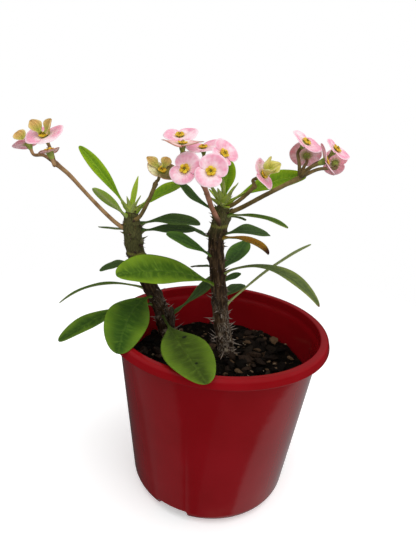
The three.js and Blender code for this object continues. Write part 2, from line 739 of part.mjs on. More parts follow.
function euphorbia() {
  const plant = new THREE.Group();
  const swollen = Object.fromEntries(Object.keys(STEMS).map((stem) => [stem, stemCore(stem, GAP)]));
  const leftCore = wasm.Manifold.union([swollen.left, swollen.shoot]);
  const clearOf = { main: swollen.main, left: leftCore, shoot: leftCore };
  const grown = [];
  const grow = (name, solid, stem, finish) => {
    const piece = largest(solid.subtract(clearOf[stem]));
    grown.push(piece);
    plant.add(mesh(name, piece, finish));
  };
  for (const row of LEAVES) grow(row[0], leaf(row), row[1], row[9]);
  for (const spec of TUFTS) grow(spec.name, tuft(spec), spec.stem, "brightLeaf");
  for (const spec of SPRAYS) {
    const blooms = spec.blooms.map(bloomOf);
    grow(spec.name, spray(spec, blooms), spec.stem, "stalk");
    for (const bloom of blooms) grow(bloom.name, bractPair(bloom), spec.stem, bloom.finish);
  }
  const holder = pot();
  const others = { main: [leftCore], left: [swollen.main, swollen.shoot] };
  const spines = (stem) => stemSpines(stem, SPINE_SEEDS[stem], [...grown, holder, ...others[stem]]);
  const mainParts = [stemCore("main"), ...spines("main")];
  const leftParts = [stemCore("left"), stemCore("shoot"), ...spines("left")];
  plant.add(mesh("stem_main", wasm.Manifold.union(mainParts), "bark"));
  plant.add(mesh("stem_left", wasm.Manifold.union(leftParts), "bark"));
  plant.add(mesh("soil", soil([swollen.main, leftCore]), "soil"));
  plant.add(mesh("pot", holder, "pot"));
  return plant;
}

export default euphorbia();
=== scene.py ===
"""The looks of a potted crown of thorns: leaves, pink blooms, thorny stems, bark and red pot.

The tables are in millimetres and degrees, in the model's own frame, with +Z up. The
meshes are made in millimetres and scaled to metres as each piece is finished.
"""

import math
import random
from collections import namedtuple

import bmesh
import bpy
from mathutils import Matrix, Quaternion, Vector, noise


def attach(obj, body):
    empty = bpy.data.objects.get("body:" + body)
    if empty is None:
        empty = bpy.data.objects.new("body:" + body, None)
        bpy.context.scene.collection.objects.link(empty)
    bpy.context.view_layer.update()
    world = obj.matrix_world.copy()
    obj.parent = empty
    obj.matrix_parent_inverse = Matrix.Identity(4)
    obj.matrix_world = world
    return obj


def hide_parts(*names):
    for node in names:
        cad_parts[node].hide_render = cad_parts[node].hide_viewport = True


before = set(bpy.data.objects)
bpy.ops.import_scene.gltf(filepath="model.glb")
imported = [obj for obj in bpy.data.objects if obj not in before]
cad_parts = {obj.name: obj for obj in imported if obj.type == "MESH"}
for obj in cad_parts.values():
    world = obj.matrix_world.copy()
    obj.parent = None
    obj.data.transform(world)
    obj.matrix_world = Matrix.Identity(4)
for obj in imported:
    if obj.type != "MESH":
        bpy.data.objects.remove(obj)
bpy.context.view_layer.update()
scene = bpy.context.scene

MM = 0.001
GOLDEN_ANGLE = 137.5

# ---- driving dimensions, as in the model ----
POT_HEIGHT = 113.4
LIP_BOTTOM = 108
LIP_RADIUS = 70
LIP_TOP_RADIUS = 68.2
THROAT_RADIUS = 63.7
STEP_HEIGHT = 107
WALL_TOP_RADIUS = 64.1
BASE_RADIUS = 52.2
CORNER_ROUNDING = 7.8
WALL = 1.4
FLOOR = 2
SLOT_WIDTH = 21
SLOT_HEIGHT = 8
SLOT_REACH = 7
FIRST_SLOT = -114.5
SLOTS = 3
HOLE_RADIUS = 4
HOLE_CIRCLE = 30
HOLES = 6

SOIL_LEVEL = 84
SOIL_SWELL = 1.3
SOIL_EDGE_RISE = 1.5

STEMS = {
    "main": {
        "route": [
            (7, 11, 48), (6.5, 10, 84), (0.5, 10, 113), (-3, 10, 137), (-6.5, 10, 166),
            (-4.5, 9, 179), (-4, 8, 189),
        ],
        "radii": [5, 5.6, 5.2, 5, 5, 5.4, 3.4],
    },
    "left": {
        "route": [
            (-33, 33, 50), (-37.5, 31, 84), (-41.5, 28, 106), (-48.5, 20, 126), (-57, 11, 151),
            (-59, 7, 170), (-60, 5, 180),
        ],
        "radii": [4.6, 5.4, 5.2, 5, 5.6, 5.8, 3.4],
    },
    "shoot": {
        "route": [(-37.5, 30, 78), (-34.5, 27.5, 90), (-33, 25.5, 102), (-34, 24, 111)],
        "radii": [3.2, 2.7, 2.3, 1.3],
    },
}

# crease is 0 for a sharp fold at the rib and above 1 for a cup.
BLADE = {
    "petiole": 0.85, "fold": 0.16, "widest": 0.64, "taper": 1.15, "roundness": 0.5, "crowding": 1.3,
    "crease": 0.12,
}
YOUNG_BLADE = {
    "petiole": 0.8, "fold": 0.3, "widest": 0.45, "taper": 0.8, "roundness": 0.9, "crowding": 1,
    "crease": 0.12,
}
YOUNG_BRACT = {
    **YOUNG_BLADE, "fold": 0.4, "widest": 0.56, "taper": 0.7, "roundness": 0.45, "crease": 1.2,
}

# Each leaf grows at a height from the stem that its name's second word gives. Its rib
# sets out on a heading (0 is +X, 90 is +Y) at a rise, and bends down by its droop and
# sideways by its turn. A roll above 0 lifts the edge on the right hand of its heading.
# Its stalk is the share of its length before the blade.
STALK_SHARE = 0.12
Leaf = namedtuple(
    "Leaf", "name height heading rise droop length width roll slot look turn stalk",
    defaults=(0, STALK_SHARE))
LEAVES = [
    Leaf("leaf_left_upright", 177, 174, 57, 14, 50, 9, 50, "leaf_bright", "bright"),
    Leaf("leaf_left_folded", 174, -125, 36, 0, 36, 8, -34, "leaf", "bright"),
    Leaf("leaf_left_inward", 176, 22, 48, 30, 40, 14, -18, "leaf_bright", "bright"),
    Leaf("leaf_left_thin", 168, 149, -8, -2, 30, 7, -8, "leaf", "dark"),
    Leaf("leaf_left_arched_upper", 170, 4, 24, 38, 43, 15, -20, "leaf_dark", "dark"),
    Leaf("leaf_left_arched_lower", 167, 9, 8, 10, 39, 13, -20, "leaf_dark", "dark"),
    Leaf("leaf_left_back", 146, 158, -16, 10, 33, 12, 24, "leaf_dark", "dark"),
    Leaf("leaf_left_long", 122, -165, 29, 71, 66, 12, -12, "leaf", "green"),
    Leaf("leaf_left_low_outer", 111.5, -135, 14, 39, 76, 16, 8, "leaf", "shaded", 0, 0.26),
    Leaf("leaf_left_low_front", 118, -108, 20, 48, 77, 28, 14, "leaf", "shaded", 22, 0.1),
    Leaf("leaf_left_spotted", 101, -82, 21, 28, 112, 29, -8, "leaf", "spotted", 20, 0.34),
    Leaf("leaf_shoot", 105, 14, 40, -6, 46, 12, -22, "leaf_dark", "dark"),
    Leaf("leaf_main_left_mid", 152, -148, 34, 14, 41, 12.5, 36, "leaf", "deep"),
    Leaf("leaf_main_left_thin", 166, 127, -8, -19, 35, 10, -10, "leaf_dark", "dark"),
    Leaf("leaf_main_left_dark", 147, 123, -12, 10, 34, 9, 0, "leaf_dark", "dark"),
    Leaf("leaf_main_broad", 133, -144, 34, 40, 75, 27, 28, "leaf", "broad", 0, 0.05),
    Leaf("leaf_main_right_narrow", 180, -38, 20, 36, 47, 9, -4, "leaf", "green"),
    Leaf("leaf_main_right_short", 179, 48, 8, 34, 25, 8, 0, "leaf_dark", "dark"),
    Leaf("leaf_main_right_back", 167, 41, 10, 28, 50, 16, -22, "leaf_dark", "dark"),
    Leaf("leaf_main_yellowed", 165, -30, 27, 62, 38, 8, -16, "leaf_yellow", "yellowed"),
    Leaf("leaf_main_right_broad", 143, 67, 2, -20, 54, 17, 0, "leaf_dark", "deep"),
    Leaf("leaf_main_right_arched", 140, -29, 46, 96, 76, 14, -6, "leaf", "dusty"),
    Leaf("leaf_main_right_long", 117, 22, 45, 21, 78, 12, 38, "leaf", "dusty"),
    Leaf("leaf_main_right_small", 136, 63, -8, -11, 34, 9, 0, "leaf_dark", "deep"),
    Leaf("leaf_main_back_low", 124, 67, 0, 6, 46, 13, 0, "leaf_dark", "dark"),
    Leaf("leaf_main_crown_right", 186, 4, 42, 36, 54, 16, -40, "leaf_bright", "bright"),
    Leaf("leaf_main_crown_back", 186, 80, 74, 8, 29, 12, 0, "leaf_bright", "bright"),
    Leaf("leaf_main_crown_left", 183, 183, 10, -44, 35, 12, 20, "leaf_dark", "deep"),
]

# The youngest leaves stand in a tuft on each stem's tip: heading, rise, length, width.
# The narrowest ones of under 4 are too fine for the model's own solids.
TUFTS = [
    ("tuft_left", "left", 177, [
        (70, 76, 25, 5), (150, 46, 11, 4), (-60, 58, 12, 4), (-150, 64, 13, 4), (10, 52, 12, 4),
        (100, 60, 13, 3), (-105, 70, 14, 3.2), (-20, 68, 15, 2.8),
    ]),
    ("tuft_main", "main", 186, [
        (-120, 60, 15, 5), (-65, 52, 16, 5), (30, 66, 15, 4), (150, 46, 15, 5), (-165, 36, 15, 5),
        (-95, 24, 13, 4), (-100, 72, 20, 3.4), (-36, 64, 19, 3.2), (-140, 56, 18, 3.2), (0, 44, 17, 3),
        (-70, 12, 12, 2.8), (178, 58, 19, 3.2),
    ]),
]

# Each spray is one forked stalk. A bloom is placed by the middle of its cup and faces
# along a heading and a rise, with its two bracts along its spread angle. The columns of
# young are: the bloom that a young bract stands on, heading, rise, length, width, roll.
Bloom = namedtuple("Bloom", "name middle heading rise spread radius slot", defaults=("bract_pink",))
SPRAYS = [
    {
        "name": "stalk_left_long",
        "stalk": "tan",
        "young_look": "tan",
        "route": [
            (-59, 7, 167), (-66, 5, 170), (-75, 3, 178), (-85, -2, 190), (-93, -6, 200),
            (-100, -9, 206.5),
        ],
        "radii": [1.8, 1.4, 1.3, 1.2, 1.3, 1.4],
        "blooms": [
            Bloom("bloom_left_tip", (-102.5, -14, 219.7), -112, 58, 6, 11.4),
            Bloom("bloom_left_outer", (-118.5, 2, 214.6), 150, 54, -65, 8.6),
            Bloom("bloom_left_young", (-97.5, -21, 212.3), 160, 68, -70, 5.8, "bract_aged"),
        ],
        "young": [(0, 172, 56, 9, 4.8, 50), (0, -8, 74, 9, 5.4, -50), (1, 165, 46, 7.5, 5, 50)],
    },
    {
        "name": "stalk_left_short",
        "stalk": "olive",
        "young_look": "tan",
        "route": [(-59, 6, 174), (-54, 1, 177), (-48, -2, 188), (-44, -4, 198)],
        "radii": [1.7, 1.3, 1.2, 1.2],
        "blooms": [Bloom("bloom_aged", (-40.5, -8, 206), -60, 54, -30, 9, "bract_aged")],
        "young": [(0, 172, 44, 9.5, 4.5, 40), (0, 62, 60, 8, 4, -30)],
    },
    {
        "name": "stalk_centre",
        "stalk": "ruddy",
        "young_look": "tan",
        "route": [(-6, 9, 172), (-6, 4, 177), (-11, -2, 187), (-15, -6, 197), (-19, -8, 204)],
        "radii": [2, 1.7, 1.6, 1.6, 1.6],
        "blooms": [
            Bloom("bloom_centre_top", (-32.2, 6, 224.9), -100, 64, 14, 10.3),
            Bloom("bloom_centre_flat", (-28.6, -17, 221), -90, 84, 4, 11.5),
            Bloom("bloom_centre_back", (-18.6, 13.6, 219), -112, 72, 16, 12),
            Bloom("bloom_centre_left", (-26, -24, 209), -105, 30, 70, 9.4),
            Bloom("bloom_centre_front", (-12.6, -29, 209.2), -88, 30, 66, 9.7),
            Bloom("bloom_centre_right", (-6.8, -13, 217.6), -50, 38, 40, 9),
        ],
        "young": [],
    },
    {
        "name": "stalk_right_short",
        "stalk": "olive",
        "young_look": "yellow",
        "route": [(-5, 9, 184), (2, 3, 189), (8, -1, 195), (12.5, -4, 201)],
        "radii": [1.7, 1.3, 1.2, 1.2],
        "blooms": [Bloom("bloom_right_single", (16, -8, 208), -34, 32, 80, 9.4)],
        "young": [(0, 2, 48, 9.5, 6, -50), (0, -60, 80, 10.5, 5.5, -30), (0, -62, 30, 7, 5.5, -10)],
    },
    {
        "name": "stalk_right_long",
        "stalk": "olive",
        "young_look": "tan",
        "route": [(-5, 9, 181), (4, 7, 185), (21, 0, 197), (38, -1, 207.5)],
        "radii": [1.9, 1.5, 1.4, 1.4],
        "blooms": [
            Bloom("bloom_right_upper", (39.3, 3, 226.6), -46, 52, -52, 10),
            Bloom("bloom_right_away", (43.4, 15, 219.3), 84, 30, 4, 9.8),
            Bloom("bloom_right_side", (48.1, -11.5, 218.2), -8, 30, 92, 9.4),
            Bloom("bloom_right_outer", (56.6, 2, 224), -40, 48, -60, 8.4),
            Bloom("bloom_right_outer_away", (60.9, 15, 216.1), 84, 20, 92, 8.6),
        ],
        "young": [],
    },
]
CUP_DEPTH = 4
PEDICEL_RADII = [1.3, 1.1, 1, 1.1]

# Dark specks on the spotted leaf: share of its length, share of its half width, radius.
LEAF_SPECKS = [(0.6, -0.42, 1.5), (0.85, -0.12, 0.9)]


# ---- shader values ----
def linear(code):
    """A colour written as 0xRRGGBB, in the linear values that shaders take."""
    parts = [((code >> shift) & 255) / 255 for shift in (16, 8, 0)]
    return [*(((c + 0.055) / 1.055) ** 2.4 if c > 0.04045 else c / 12.92 for c in parts), 1]


def operator(operation, turned=False):
    """A method that adds a Math node. A turned one takes its own field last."""
    def method(field, *others):
        values = [field, *others]
        return field.paint.math(operation, *(values[::-1] if turned else values))

    return method


class Field:
    """An output of a shader node. Arithmetic on it adds Math nodes."""

    __add__ = operator("ADD")
    __radd__ = operator("ADD")
    __sub__ = operator("SUBTRACT")
    __rsub__ = operator("SUBTRACT", turned=True)
    __mul__ = operator("MULTIPLY")
    __rmul__ = operator("MULTIPLY")
    sine = operator("SINE")
    cosine = operator("COSINE")
    size = operator("ABSOLUTE")

    def __init__(self, paint, node, output=0):
        self.paint = paint
        self.node = node
        self.socket = node.outputs[output]

    def output(self, output):
        return Field(self.paint, self.node, output)

    def over(self, low, high):
        """Goes smoothly from 0 at low to 1 at high."""
        settings = {"interpolation_type": "SMOOTHSTEP"}
        return self.paint.node("MapRange", settings, {0: self, 1: low, 2: high})


class Paint:
    """A material, or the world's light, whose pattern is written as sums of fields."""

    def __init__(self, name, owner=None):
        self.data = owner or bpy.data.materials.new(name)
        self.data.use_nodes = True
        self.tree = self.data.node_tree

    def node(self, kind, settings, inputs, output=0):
        node = self.tree.nodes.new(f"ShaderNode{kind}")
        for name, value in settings.items():
            if name == "stops":
                ramp = node.color_ramp
                while len(ramp.elements) < len(value):
                    ramp.elements.new(0.5)
                for element, (place, code) in zip(ramp.elements, value):
                    element.position = place
                    element.color = linear(code)
            else:
                setattr(node, name, value)
        self.feed(node, inputs)
        return Field(self, node, output)

    def feed(self, node, inputs):
        for name, value in inputs.items():
            if isinstance(value, Field):
                self.tree.links.new(value.socket, node.inputs[name])
            else:
                node.inputs[name].default_value = value

    def math(self, operation, *values):
        return self.node("Math", {"operation": operation}, dict(enumerate(values)))

    def place(self):
        return self.node("TexCoord", {}, {}, "Object")

    def axes(self, vector):
        first = self.node("SeparateXYZ", {}, {0: vector})
        return first, first.output(1), first.output(2)

    def sheet(self):
        """Where a point is on its own sheet: across it from -1 to 1, and along it from 0 to 1."""
        across, along, _ = self.axes(self.node("TexCoord", {}, {}, "UV"))
        return across * 2 - 1, along

    def point(self, x, y, z):
        return self.node("CombineXYZ", {}, {0: x, 1: y, 2: z})

    def stretched(self, vector, scale):
        return self.node("VectorMath", {"operation": "MULTIPLY"}, {0: vector, 1: scale})

    def noise(self, vector, scale, detail=2, rough=0.5):
        inputs = {"Vector": vector, "Scale": scale, "Detail": detail, "Roughness": rough}
        return self.node("TexNoise", {}, inputs)

    def cells(self, vector, scale):
        return self.node("TexVoronoi", {}, {"Vector": vector, "Scale": scale})

    def attribute(self, name):
        return self.node("Attribute", {"attribute_name": name}, {}, "Fac")

    def far_from(self, vector, centre):
        inputs = {0: vector, 1: centre}
        return self.node("VectorMath", {"operation": "DISTANCE"}, inputs, "Value")

    def mix(self, share, low, high):
        """A colour that goes from low to high as share goes from 0 to 1."""
        colours = [c if isinstance(c, Field) else linear(c) for c in (low, high)]
        inputs = {0: share, 6: colours[0], 7: colours[1]}
        return self.node("Mix", {"data_type": "RGBA"}, inputs, 2)

    def layers(self, colour, coats):
        """Lays coats over a colour. Each is a share and the colour that it goes to."""
        for share, coat in coats:
            colour = self.mix(share, colour, coat)
        return colour

    def ramp(self, share, stops):
        return self.node("ValToRGB", {"stops": stops}, {0: share}, "Color")

    def finish(self, colour, roughness, relief=None, depth=0, constants=None):
        """Sets the surface: its colour, its roughness, and relief of a depth in metres."""
        inputs = {"Base Color": colour, "Roughness": roughness, **(constants or {})}
        if relief is not None:
            bump = {"Height": relief, "Distance": depth}
            inputs["Normal"] = self.node("Bump", {}, bump, "Normal")
        self.feed(self.tree.nodes["Principled BSDF"], inputs)
        return self.data


# ---- finishes ----
LEAF_LOOKS = {
    # name: shaded middle, margin, streaks, rib
    "broad": (0x3A5A0A, 0x7C9A1C, 0x648422, 0x5C7C24),
    "shaded": (0x2C4A0C, 0x66841A, 0x4A6A1C, 0x4E6C20),
    "spotted": (0x36480E, 0x66841C, 0x50681A, 0x566C22),
    "bright": (0x5E8606, 0x96B20E, 0x7A9E0E, 0x98B436),
    "green": (0x3A5414, 0x6A8422, 0x4E6C1E, 0x6A8240),
    "dusty": (0x48582C, 0x7C863E, 0x5C6C36, 0x808A4C),
    "deep": (0x34521E, 0x5C8028, 0x446826, 0x5C7E36),
    "dark": (0x384F22, 0x56702C, 0x445C2A, 0x5C7A3A),
    "yellowed": (0x8A5C12, 0xB08420, 0x946C18, 0xB4903C),
    "young": (0x92B02C, 0xC2CC48, 0xA2BC38, 0xBECA5C),
}
LEAF_GLOW = {"Subsurface Weight": 0.12, "Subsurface Radius": (0.6, 1, 0.2), "Subsurface Scale": 0.001}
VEINS = 21


def clouded(name, scale, detail=3, rough=0.5):
    """A paint, with the fields that most finishes use: across and along, place and clouds."""
    paint = Paint(name)
    across, along = paint.sheet()
    place = paint.place()
    return paint, across, along, place, paint.noise(place, scale, detail, rough)


def leaf_top(look):
    middle, margin, streak, rib = LEAF_LOOKS[look]
    paint, across, along, place, clouds = clouded(f"leaf_{look}_top", 90, 3, 0.55)
    side = across.size()
    slant = along * VEINS - side * 0.9 + paint.noise(place, 140) * 0.8
    lines = paint.math("PINGPONG", slant, 0.5).over(0.36, 0.5)
    streaks = paint.noise(paint.point(slant * 0.9, across * 0.8, 0), 1.7, 4, 0.6)
    rib_line = paint.attribute("from_rib").over(0.8, 0.3)
    coats = [
        ((side * 0.8 + along * 0.2 + clouds * 0.5 - 0.25).over(0.5, 1.1), margin),
        (streaks.over(0.42, 0.68) * 0.55, streak),
        (streaks.over(0.56, 0.72) * clouds.over(0.42, 0.6) * 0.35, margin),
        (lines * clouds * 0.24, rib),
        (rib_line * 0.22, rib),
        (side.over(0.94, 1) * 0.5, margin),
    ]
    if look == "yellowed":
        coats.append(((streaks + across * 0.12).over(0.5, 0.6) * 0.75, 0x5C5A1C))
        coats.append(((along + clouds * 0.3).over(0.86, 1.08), 0x3C1C12))
    if look in ("dusty", "green"):
        coats.append(((along * side + clouds * 0.3).over(0.75, 1.1) * 0.6, 0xA09A50))
    if look == "dusty":
        coats.append(((along + clouds * 0.1).over(0.97, 1.04) * 0.8, 0x7A4A3C))
    if look == "spotted":
        coats.append(((along + clouds * 0.2).over(0.66, 0.4) * 0.5, 0x2A3A0C))
        for centre, radius in speck_places():
            speck = paint.far_from(place, centre) + paint.noise(place, 900) * 0.0008
            coats.append((speck.over(radius + 0.0006, radius), 0x181C0C))
    relief = lines * 0.5 - rib_line + paint.noise(place, 1500) * 0.35
    constants = {**LEAF_GLOW, "Specular IOR Level": 0.22}
    return paint.finish(paint.layers(middle, coats), 0.46 + clouds * 0.16, relief, 0.00014, constants)


def leaf_underside(look):
    _, margin, streak, rib = LEAF_LOOKS[look]
    paint, across, along, place, clouds = clouded(f"leaf_{look}_underside", 110)
    lines = paint.math("PINGPONG", along * VEINS - across.size() * 2, 0.5).over(0.38, 0.5)
    rib_line = paint.attribute("from_rib").over(1.3, 0.6)
    colour = paint.layers(streak, [
        (clouds, margin),
        (0.3, 0xA8B878),
        (lines * 0.35, rib),
        (rib_line * 0.6, 0xA4B070),
    ])
    relief = lines * 0.8 + paint.noise(place, 1300) * 0.3
    constants = {**LEAF_GLOW, "Specular IOR Level": 0.25}
    return paint.finish(colour, 0.55 + clouds * 0.12, relief, 0.00015, constants)


BRACT_GLOW = {"Subsurface Weight": 0.15, "Subsurface Radius": (1.5, 0.9, 1), "Subsurface Scale": 0.001}
BRACT_RELIEF = 0.0001


def fine_rays(across, count, wander):
    """Rays that run from a bract's foot to its margin, from 0 to 1."""
    return (across * count + wander).sine() * 0.5 + 0.5


def pink_top():
    paint, across, along, place, clouds = clouded("bract_pink_top", 105, 3, 0.6)
    rays = fine_rays(across, 34, paint.noise(place, 300) * 2)
    flush = (clouds + along * 0.2 - 0.08).over(0.36, 0.66)
    specks = paint.cells(place, 420).over(0.12, 0.05) * clouds.over(0.55, 0.66)
    colour = paint.layers(0xFADCE2, [
        (flush, 0xF0A6BC),
        (rays * flush * 0.3, 0xE2809F),
        (along.over(0.74, 1) * 0.75, 0xFCE6EA),
        (along.over(0.3, 0.05) * 0.6, 0xE6C79A),
        (specks * 0.2, 0xD06A86),
    ])
    relief = rays * 0.5 + paint.noise(place, 900)
    return paint.finish(colour, 0.5 + clouds * 0.15, relief, BRACT_RELIEF, BRACT_GLOW)


def pink_underside():
    paint, across, along, place, clouds = clouded("bract_pink_underside", 130, 3, 0.6)
    rays = fine_rays(across, 24, paint.noise(place, 260) * 3)
    colour = paint.layers(0xFCCCD2, [
        (clouds.over(0.35, 0.7), 0xF29CA8),
        (rays.over(0.6, 1) * 0.3, 0xE08A9C),
        (along.over(0.34, 0.05) * 0.8, 0xA8A860),
        (along.over(0.88, 1) * 0.6, 0xF8D9DE),
    ])
    relief = rays + paint.noise(place, 900)
    return paint.finish(colour, 0.6 + clouds * 0.1, relief, BRACT_RELIEF, BRACT_GLOW)


AGED_SIDE = -0.04


def aged_bract():
    """A fading bloom: one bract is cream and the one beyond x = AGED_SIDE has browned."""
    paint, across, along, place, clouds = clouded("bract_aged_both", 150, 4, 0.6)
    rays = fine_rays(across, 28, clouds * 5)
    browned = (paint.axes(place)[0] + clouds * 0.006).over(AGED_SIDE - 0.001, AGED_SIDE + 0.004)
    patches = clouds.over(0.35, 0.65)
    colour = paint.layers(0xF4EFC4, [
        (patches, 0xD8CE92),
        (browned, paint.mix(patches, 0x8A7A44, 0x665A30)),
        (along.over(0.8, 1) * 0.8, 0xD09A80),
        (rays.over(0.7, 1) * 0.25, 0x7D7440),
        (along.over(0.4, 0) * 0.7, 0xA0A850),
    ])
    relief = rays * 0.6 + paint.noise(place, 800, 3)
    return paint.finish(colour, 0.6 + clouds * 0.15, relief, 0.00015, BRACT_GLOW)


def fading_bract():
    """An older pink bract, with a browned rim."""
    paint, across, along, place, clouds = clouded("bract_fading", 160, 3, 0.6)
    colour = paint.layers(0xF8DCD8, [
        (clouds.over(0.35, 0.65), 0xE8A8A4),
        ((along + clouds * 0.3).over(0.8, 1) * 0.9, 0xA8745C),
        (along.over(0.4, 0.05) * 0.7, 0xC4B070),
    ])
    relief = (across * 24).sine() * 0.5 + paint.noise(place, 900)
    return paint.finish(colour, 0.6 + clouds * 0.12, relief, BRACT_RELIEF, BRACT_GLOW)


# name: foot, tip, rim
YOUNG_LOOKS = {"tan": (0xAEB044, 0xD2A860, 0xEED8A0), "yellow": (0xC0C24C, 0xDCD070, 0xF2ECAC)}


def young_bract(look):
    base, tip, rim = YOUNG_LOOKS[look]
    paint, across, along, _, clouds = clouded(f"young_bract_{look}", 180)
    colour = paint.layers(base, [
        ((along + clouds * 0.5).over(0.45, 1.05), tip),
        ((across * 9).sine().over(0.5, 1) * 0.25, 0x7E8434),
        (across.size().over(0.7, 1) * 0.6, rim),
    ])
    relief = (across * 18).sine() + clouds
    return paint.finish(colour, 0.55 + clouds * 0.15, relief, BRACT_RELIEF, BRACT_GLOW)


# name, scale, detail and blend of the clouds, two colours, roughness and its rise, relief, constants
CUP_FINISHES = [
    ("cup_green", 300, 3, 0.15, (0x6C7A2A, 0x93A040), 0.45, 0.15, 0.00015, {}),
    ("gland_gold", 700, 3, 0.15, (0xEACB30, 0xCC9C14), 0.3, 0.15, 0.0001, {"Coat Weight": 0.3}),
    ("stamen_brown", 900, 2, 0.1, (0xB08C1E, 0x7E5C14), 0.5, 0.2, 0.0001, {}),
]


def mottled(name, scale, detail, blend, colours, rough, rougher, depth, constants):
    """Two colours in clouds, which also roughen and raise the surface."""
    paint = Paint(name)
    clouds = paint.noise(paint.place(), scale, detail)
    colour = paint.mix(clouds.over(0.5 - blend, 0.5 + blend), *colours)
    return paint.finish(colour, rough + clouds * rougher, clouds, depth, constants)


# name: shade, light
STALK_LOOKS = {
    "tan": (0x84603A, 0xB08C60), "olive": (0x5A4C24, 0x887240), "ruddy": (0x86583C, 0xB07A62),
}


def stalk_finish(look):
    shade, light = STALK_LOOKS[look]
    paint, _, along, place, clouds = clouded(f"stalk_{look}", 140, 3, 0.6)
    grain = paint.noise(paint.stretched(place, (1, 1, 0.25)), 1400, 3)
    coats = [(clouds.over(0.3, 0.7), light), (along.over(0.2, 0.04) * 0.85, 0x4C4220)]
    if look == "ruddy":
        coats.append((paint.axes(place)[2].over(0.184, 0.176) * 0.9, 0x33261A))
    coats.append((grain.over(0.6, 0.75) * 0.4, 0x4A3820))
    return paint.finish(paint.layers(shade, coats), 0.45 + grain * 0.25, grain, 0.00015)


def bark(name, green_from, green_to, pale):
    """Fissured bark with pale patches low down, which turns to green skin higher up."""
    paint, turn, _, place, clouds = clouded(name, 130, 3, 0.6)
    height = paint.axes(place)[2]
    round_x, round_y = (turn * math.pi).cosine(), (turn * math.pi).sine()
    fissures = paint.noise(paint.point(round_x, round_y, height * 34), 3.6, 5, 0.65)
    fine = paint.noise(paint.point(round_x, round_y, height * 60), 11, 4, 0.6)
    low = (height + clouds * 0.02).over(0.15, 0.105)
    green = (height + clouds * 0.014).over(green_from, green_to)
    ring = (height - green_from - 0.004 + clouds * 0.003).size().over(0.0015, 0.0004)
    stops = [(0.3, 0x120B04), (0.44, 0x2A1C0E), (0.56, 0x46331E), (0.74, 0x78654C)]
    colour = paint.layers(paint.ramp(fissures, stops), [
        (fine.over(0.47, 0.62) * clouds.over(0.36, 0.56) * low * pale, 0xA69C8C),
        (green * 0.85, paint.mix(fine.over(0.3, 0.7), 0x3E3E1E, 0x66663A)),
        (ring * fine.over(0.3, 0.5) * 0.6, 0x8C8A3C),
        (paint.attribute("tint") * fine.over(0.25, 0.5) * 0.8, 0x9A8F7A),
    ])
    relief = fissures * 1.2 + fine * 0.5
    return paint.finish(colour, 0.72 + fine * 0.2, relief, 0.0006, {"Specular IOR Level": 0.3})


def thorn():
    """Grey thorns low on the stems, and brown ones higher up."""
    paint, _, along, place, clouds = clouded("thorn", 260, 2)
    pale = paint.ramp(along, [(0, 0x463A2E), (0.25, 0x74665A), (0.7, 0xA4988C), (1, 0x5A3A32)])
    dark = paint.ramp(along, [(0, 0x2A2010), (0.3, 0x3E281C), (0.75, 0x5A443A), (1, 0x8A7C74)])
    height = paint.axes(place)[2] + clouds * 0.02
    colour = paint.mix(height.over(0.125, 0.155), pale, dark)
    return paint.finish(colour, 0.5 + clouds * 0.2, clouds, 0.0001)


def leaf_base():
    """The stubs and stipules left round a stem's top."""
    paint, _, along, _, clouds = clouded("leaf_base", 240)
    stops = [(0.2, 0x3C3A18), (0.45, 0x5E6424), (0.7, 0x6A4E2A), (1, 0x3A2418)]
    colour = paint.ramp(along * 0.7 + clouds * 0.3, stops)
    return paint.finish(colour, 0.6 + clouds * 0.2, clouds, 0.0003)


def soil_finish():
    paint = Paint("potting_mix")
    place = paint.place()
    lumps = paint.noise(place, 260, 5, 0.7)
    colour = paint.ramp(lumps, [(0.3, 0x040302), (0.5, 0x100D08), (0.66, 0x251C12), (0.8, 0x463522)])
    relief = lumps * 2 + paint.cells(place, 700) * 0.8
    return paint.finish(colour, 0.85 + lumps * 0.1, relief, 0.002, {"Specular IOR Level": 0.2})


def chip_finish():
    paint = Paint("bark_chips")
    grain = paint.noise(paint.stretched(paint.place(), (1, 0.3, 1)), 900, 4, 0.6)
    stops = [
        (0, 0x0A0705), (0.45, 0x1A130C), (0.7, 0x32241A), (0.86, 0x5B452F), (0.95, 0x80705A),
        (1, 0xA89C88),
    ]
    colour = paint.ramp(paint.attribute("tint") + grain * 0.16 - 0.08, stops)
    return paint.finish(colour, 0.75 + grain * 0.2, grain, 0.0004, {"Specular IOR Level": 0.3})


def pot_finish():
    paint = Paint("red_plastic")
    place = paint.place()
    clouds = paint.noise(place, 30, 3)
    scratches = paint.noise(paint.stretched(place, (1, 1, 0.12)), 700, 3)
    dust = clouds.over(0.5, 0.7) * paint.axes(place)[2].over(0.03, 0)
    colour = paint.layers(0x840B12, [(clouds.over(0.3, 0.7), 0x8C0E17), (dust * 0.12, 0x9A6A5A)])
    rough = 0.06 + clouds * 0.04 + scratches.over(0.6, 0.85) * 0.04
    return paint.finish(colour, rough, clouds, 0.0002)


def floor_finish():
    """White, and clear far from the pot."""
    paint = Paint("studio_floor")
    place = paint.place()
    constants = {"Emission Color": (1, 1, 1, 1), "Emission Strength": FLOOR_GLOW}
    paint.finish(paint.mix(paint.noise(place, 3), 0xF8F8F8, 0xFFFFFF), 0.9, constants=constants)
    far = paint.far_from(place, (0, 0, 0)).over(0.22, 0.5)
    clear = paint.node("BsdfTransparent", {}, {})
    solid = Field(paint, paint.tree.nodes["Principled BSDF"])
    faded = paint.node("MixShader", {}, {0: far, 1: solid, 2: clear})
    paint.feed(paint.tree.nodes["Material Output"], {"Surface": faded})
    return paint.data


# ---- meshes ----
def new_mesh():
    bm = bmesh.new()
    bm.loops.layers.uv.new("UVMap")
    bm.verts.layers.float.new("from_rib")
    bm.verts.layers.float.new("tint")
    return bm


def clamp(value):
    return min(max(value, 0), 1)


def lerp(low, high, share):
    return low + (high - low) * share


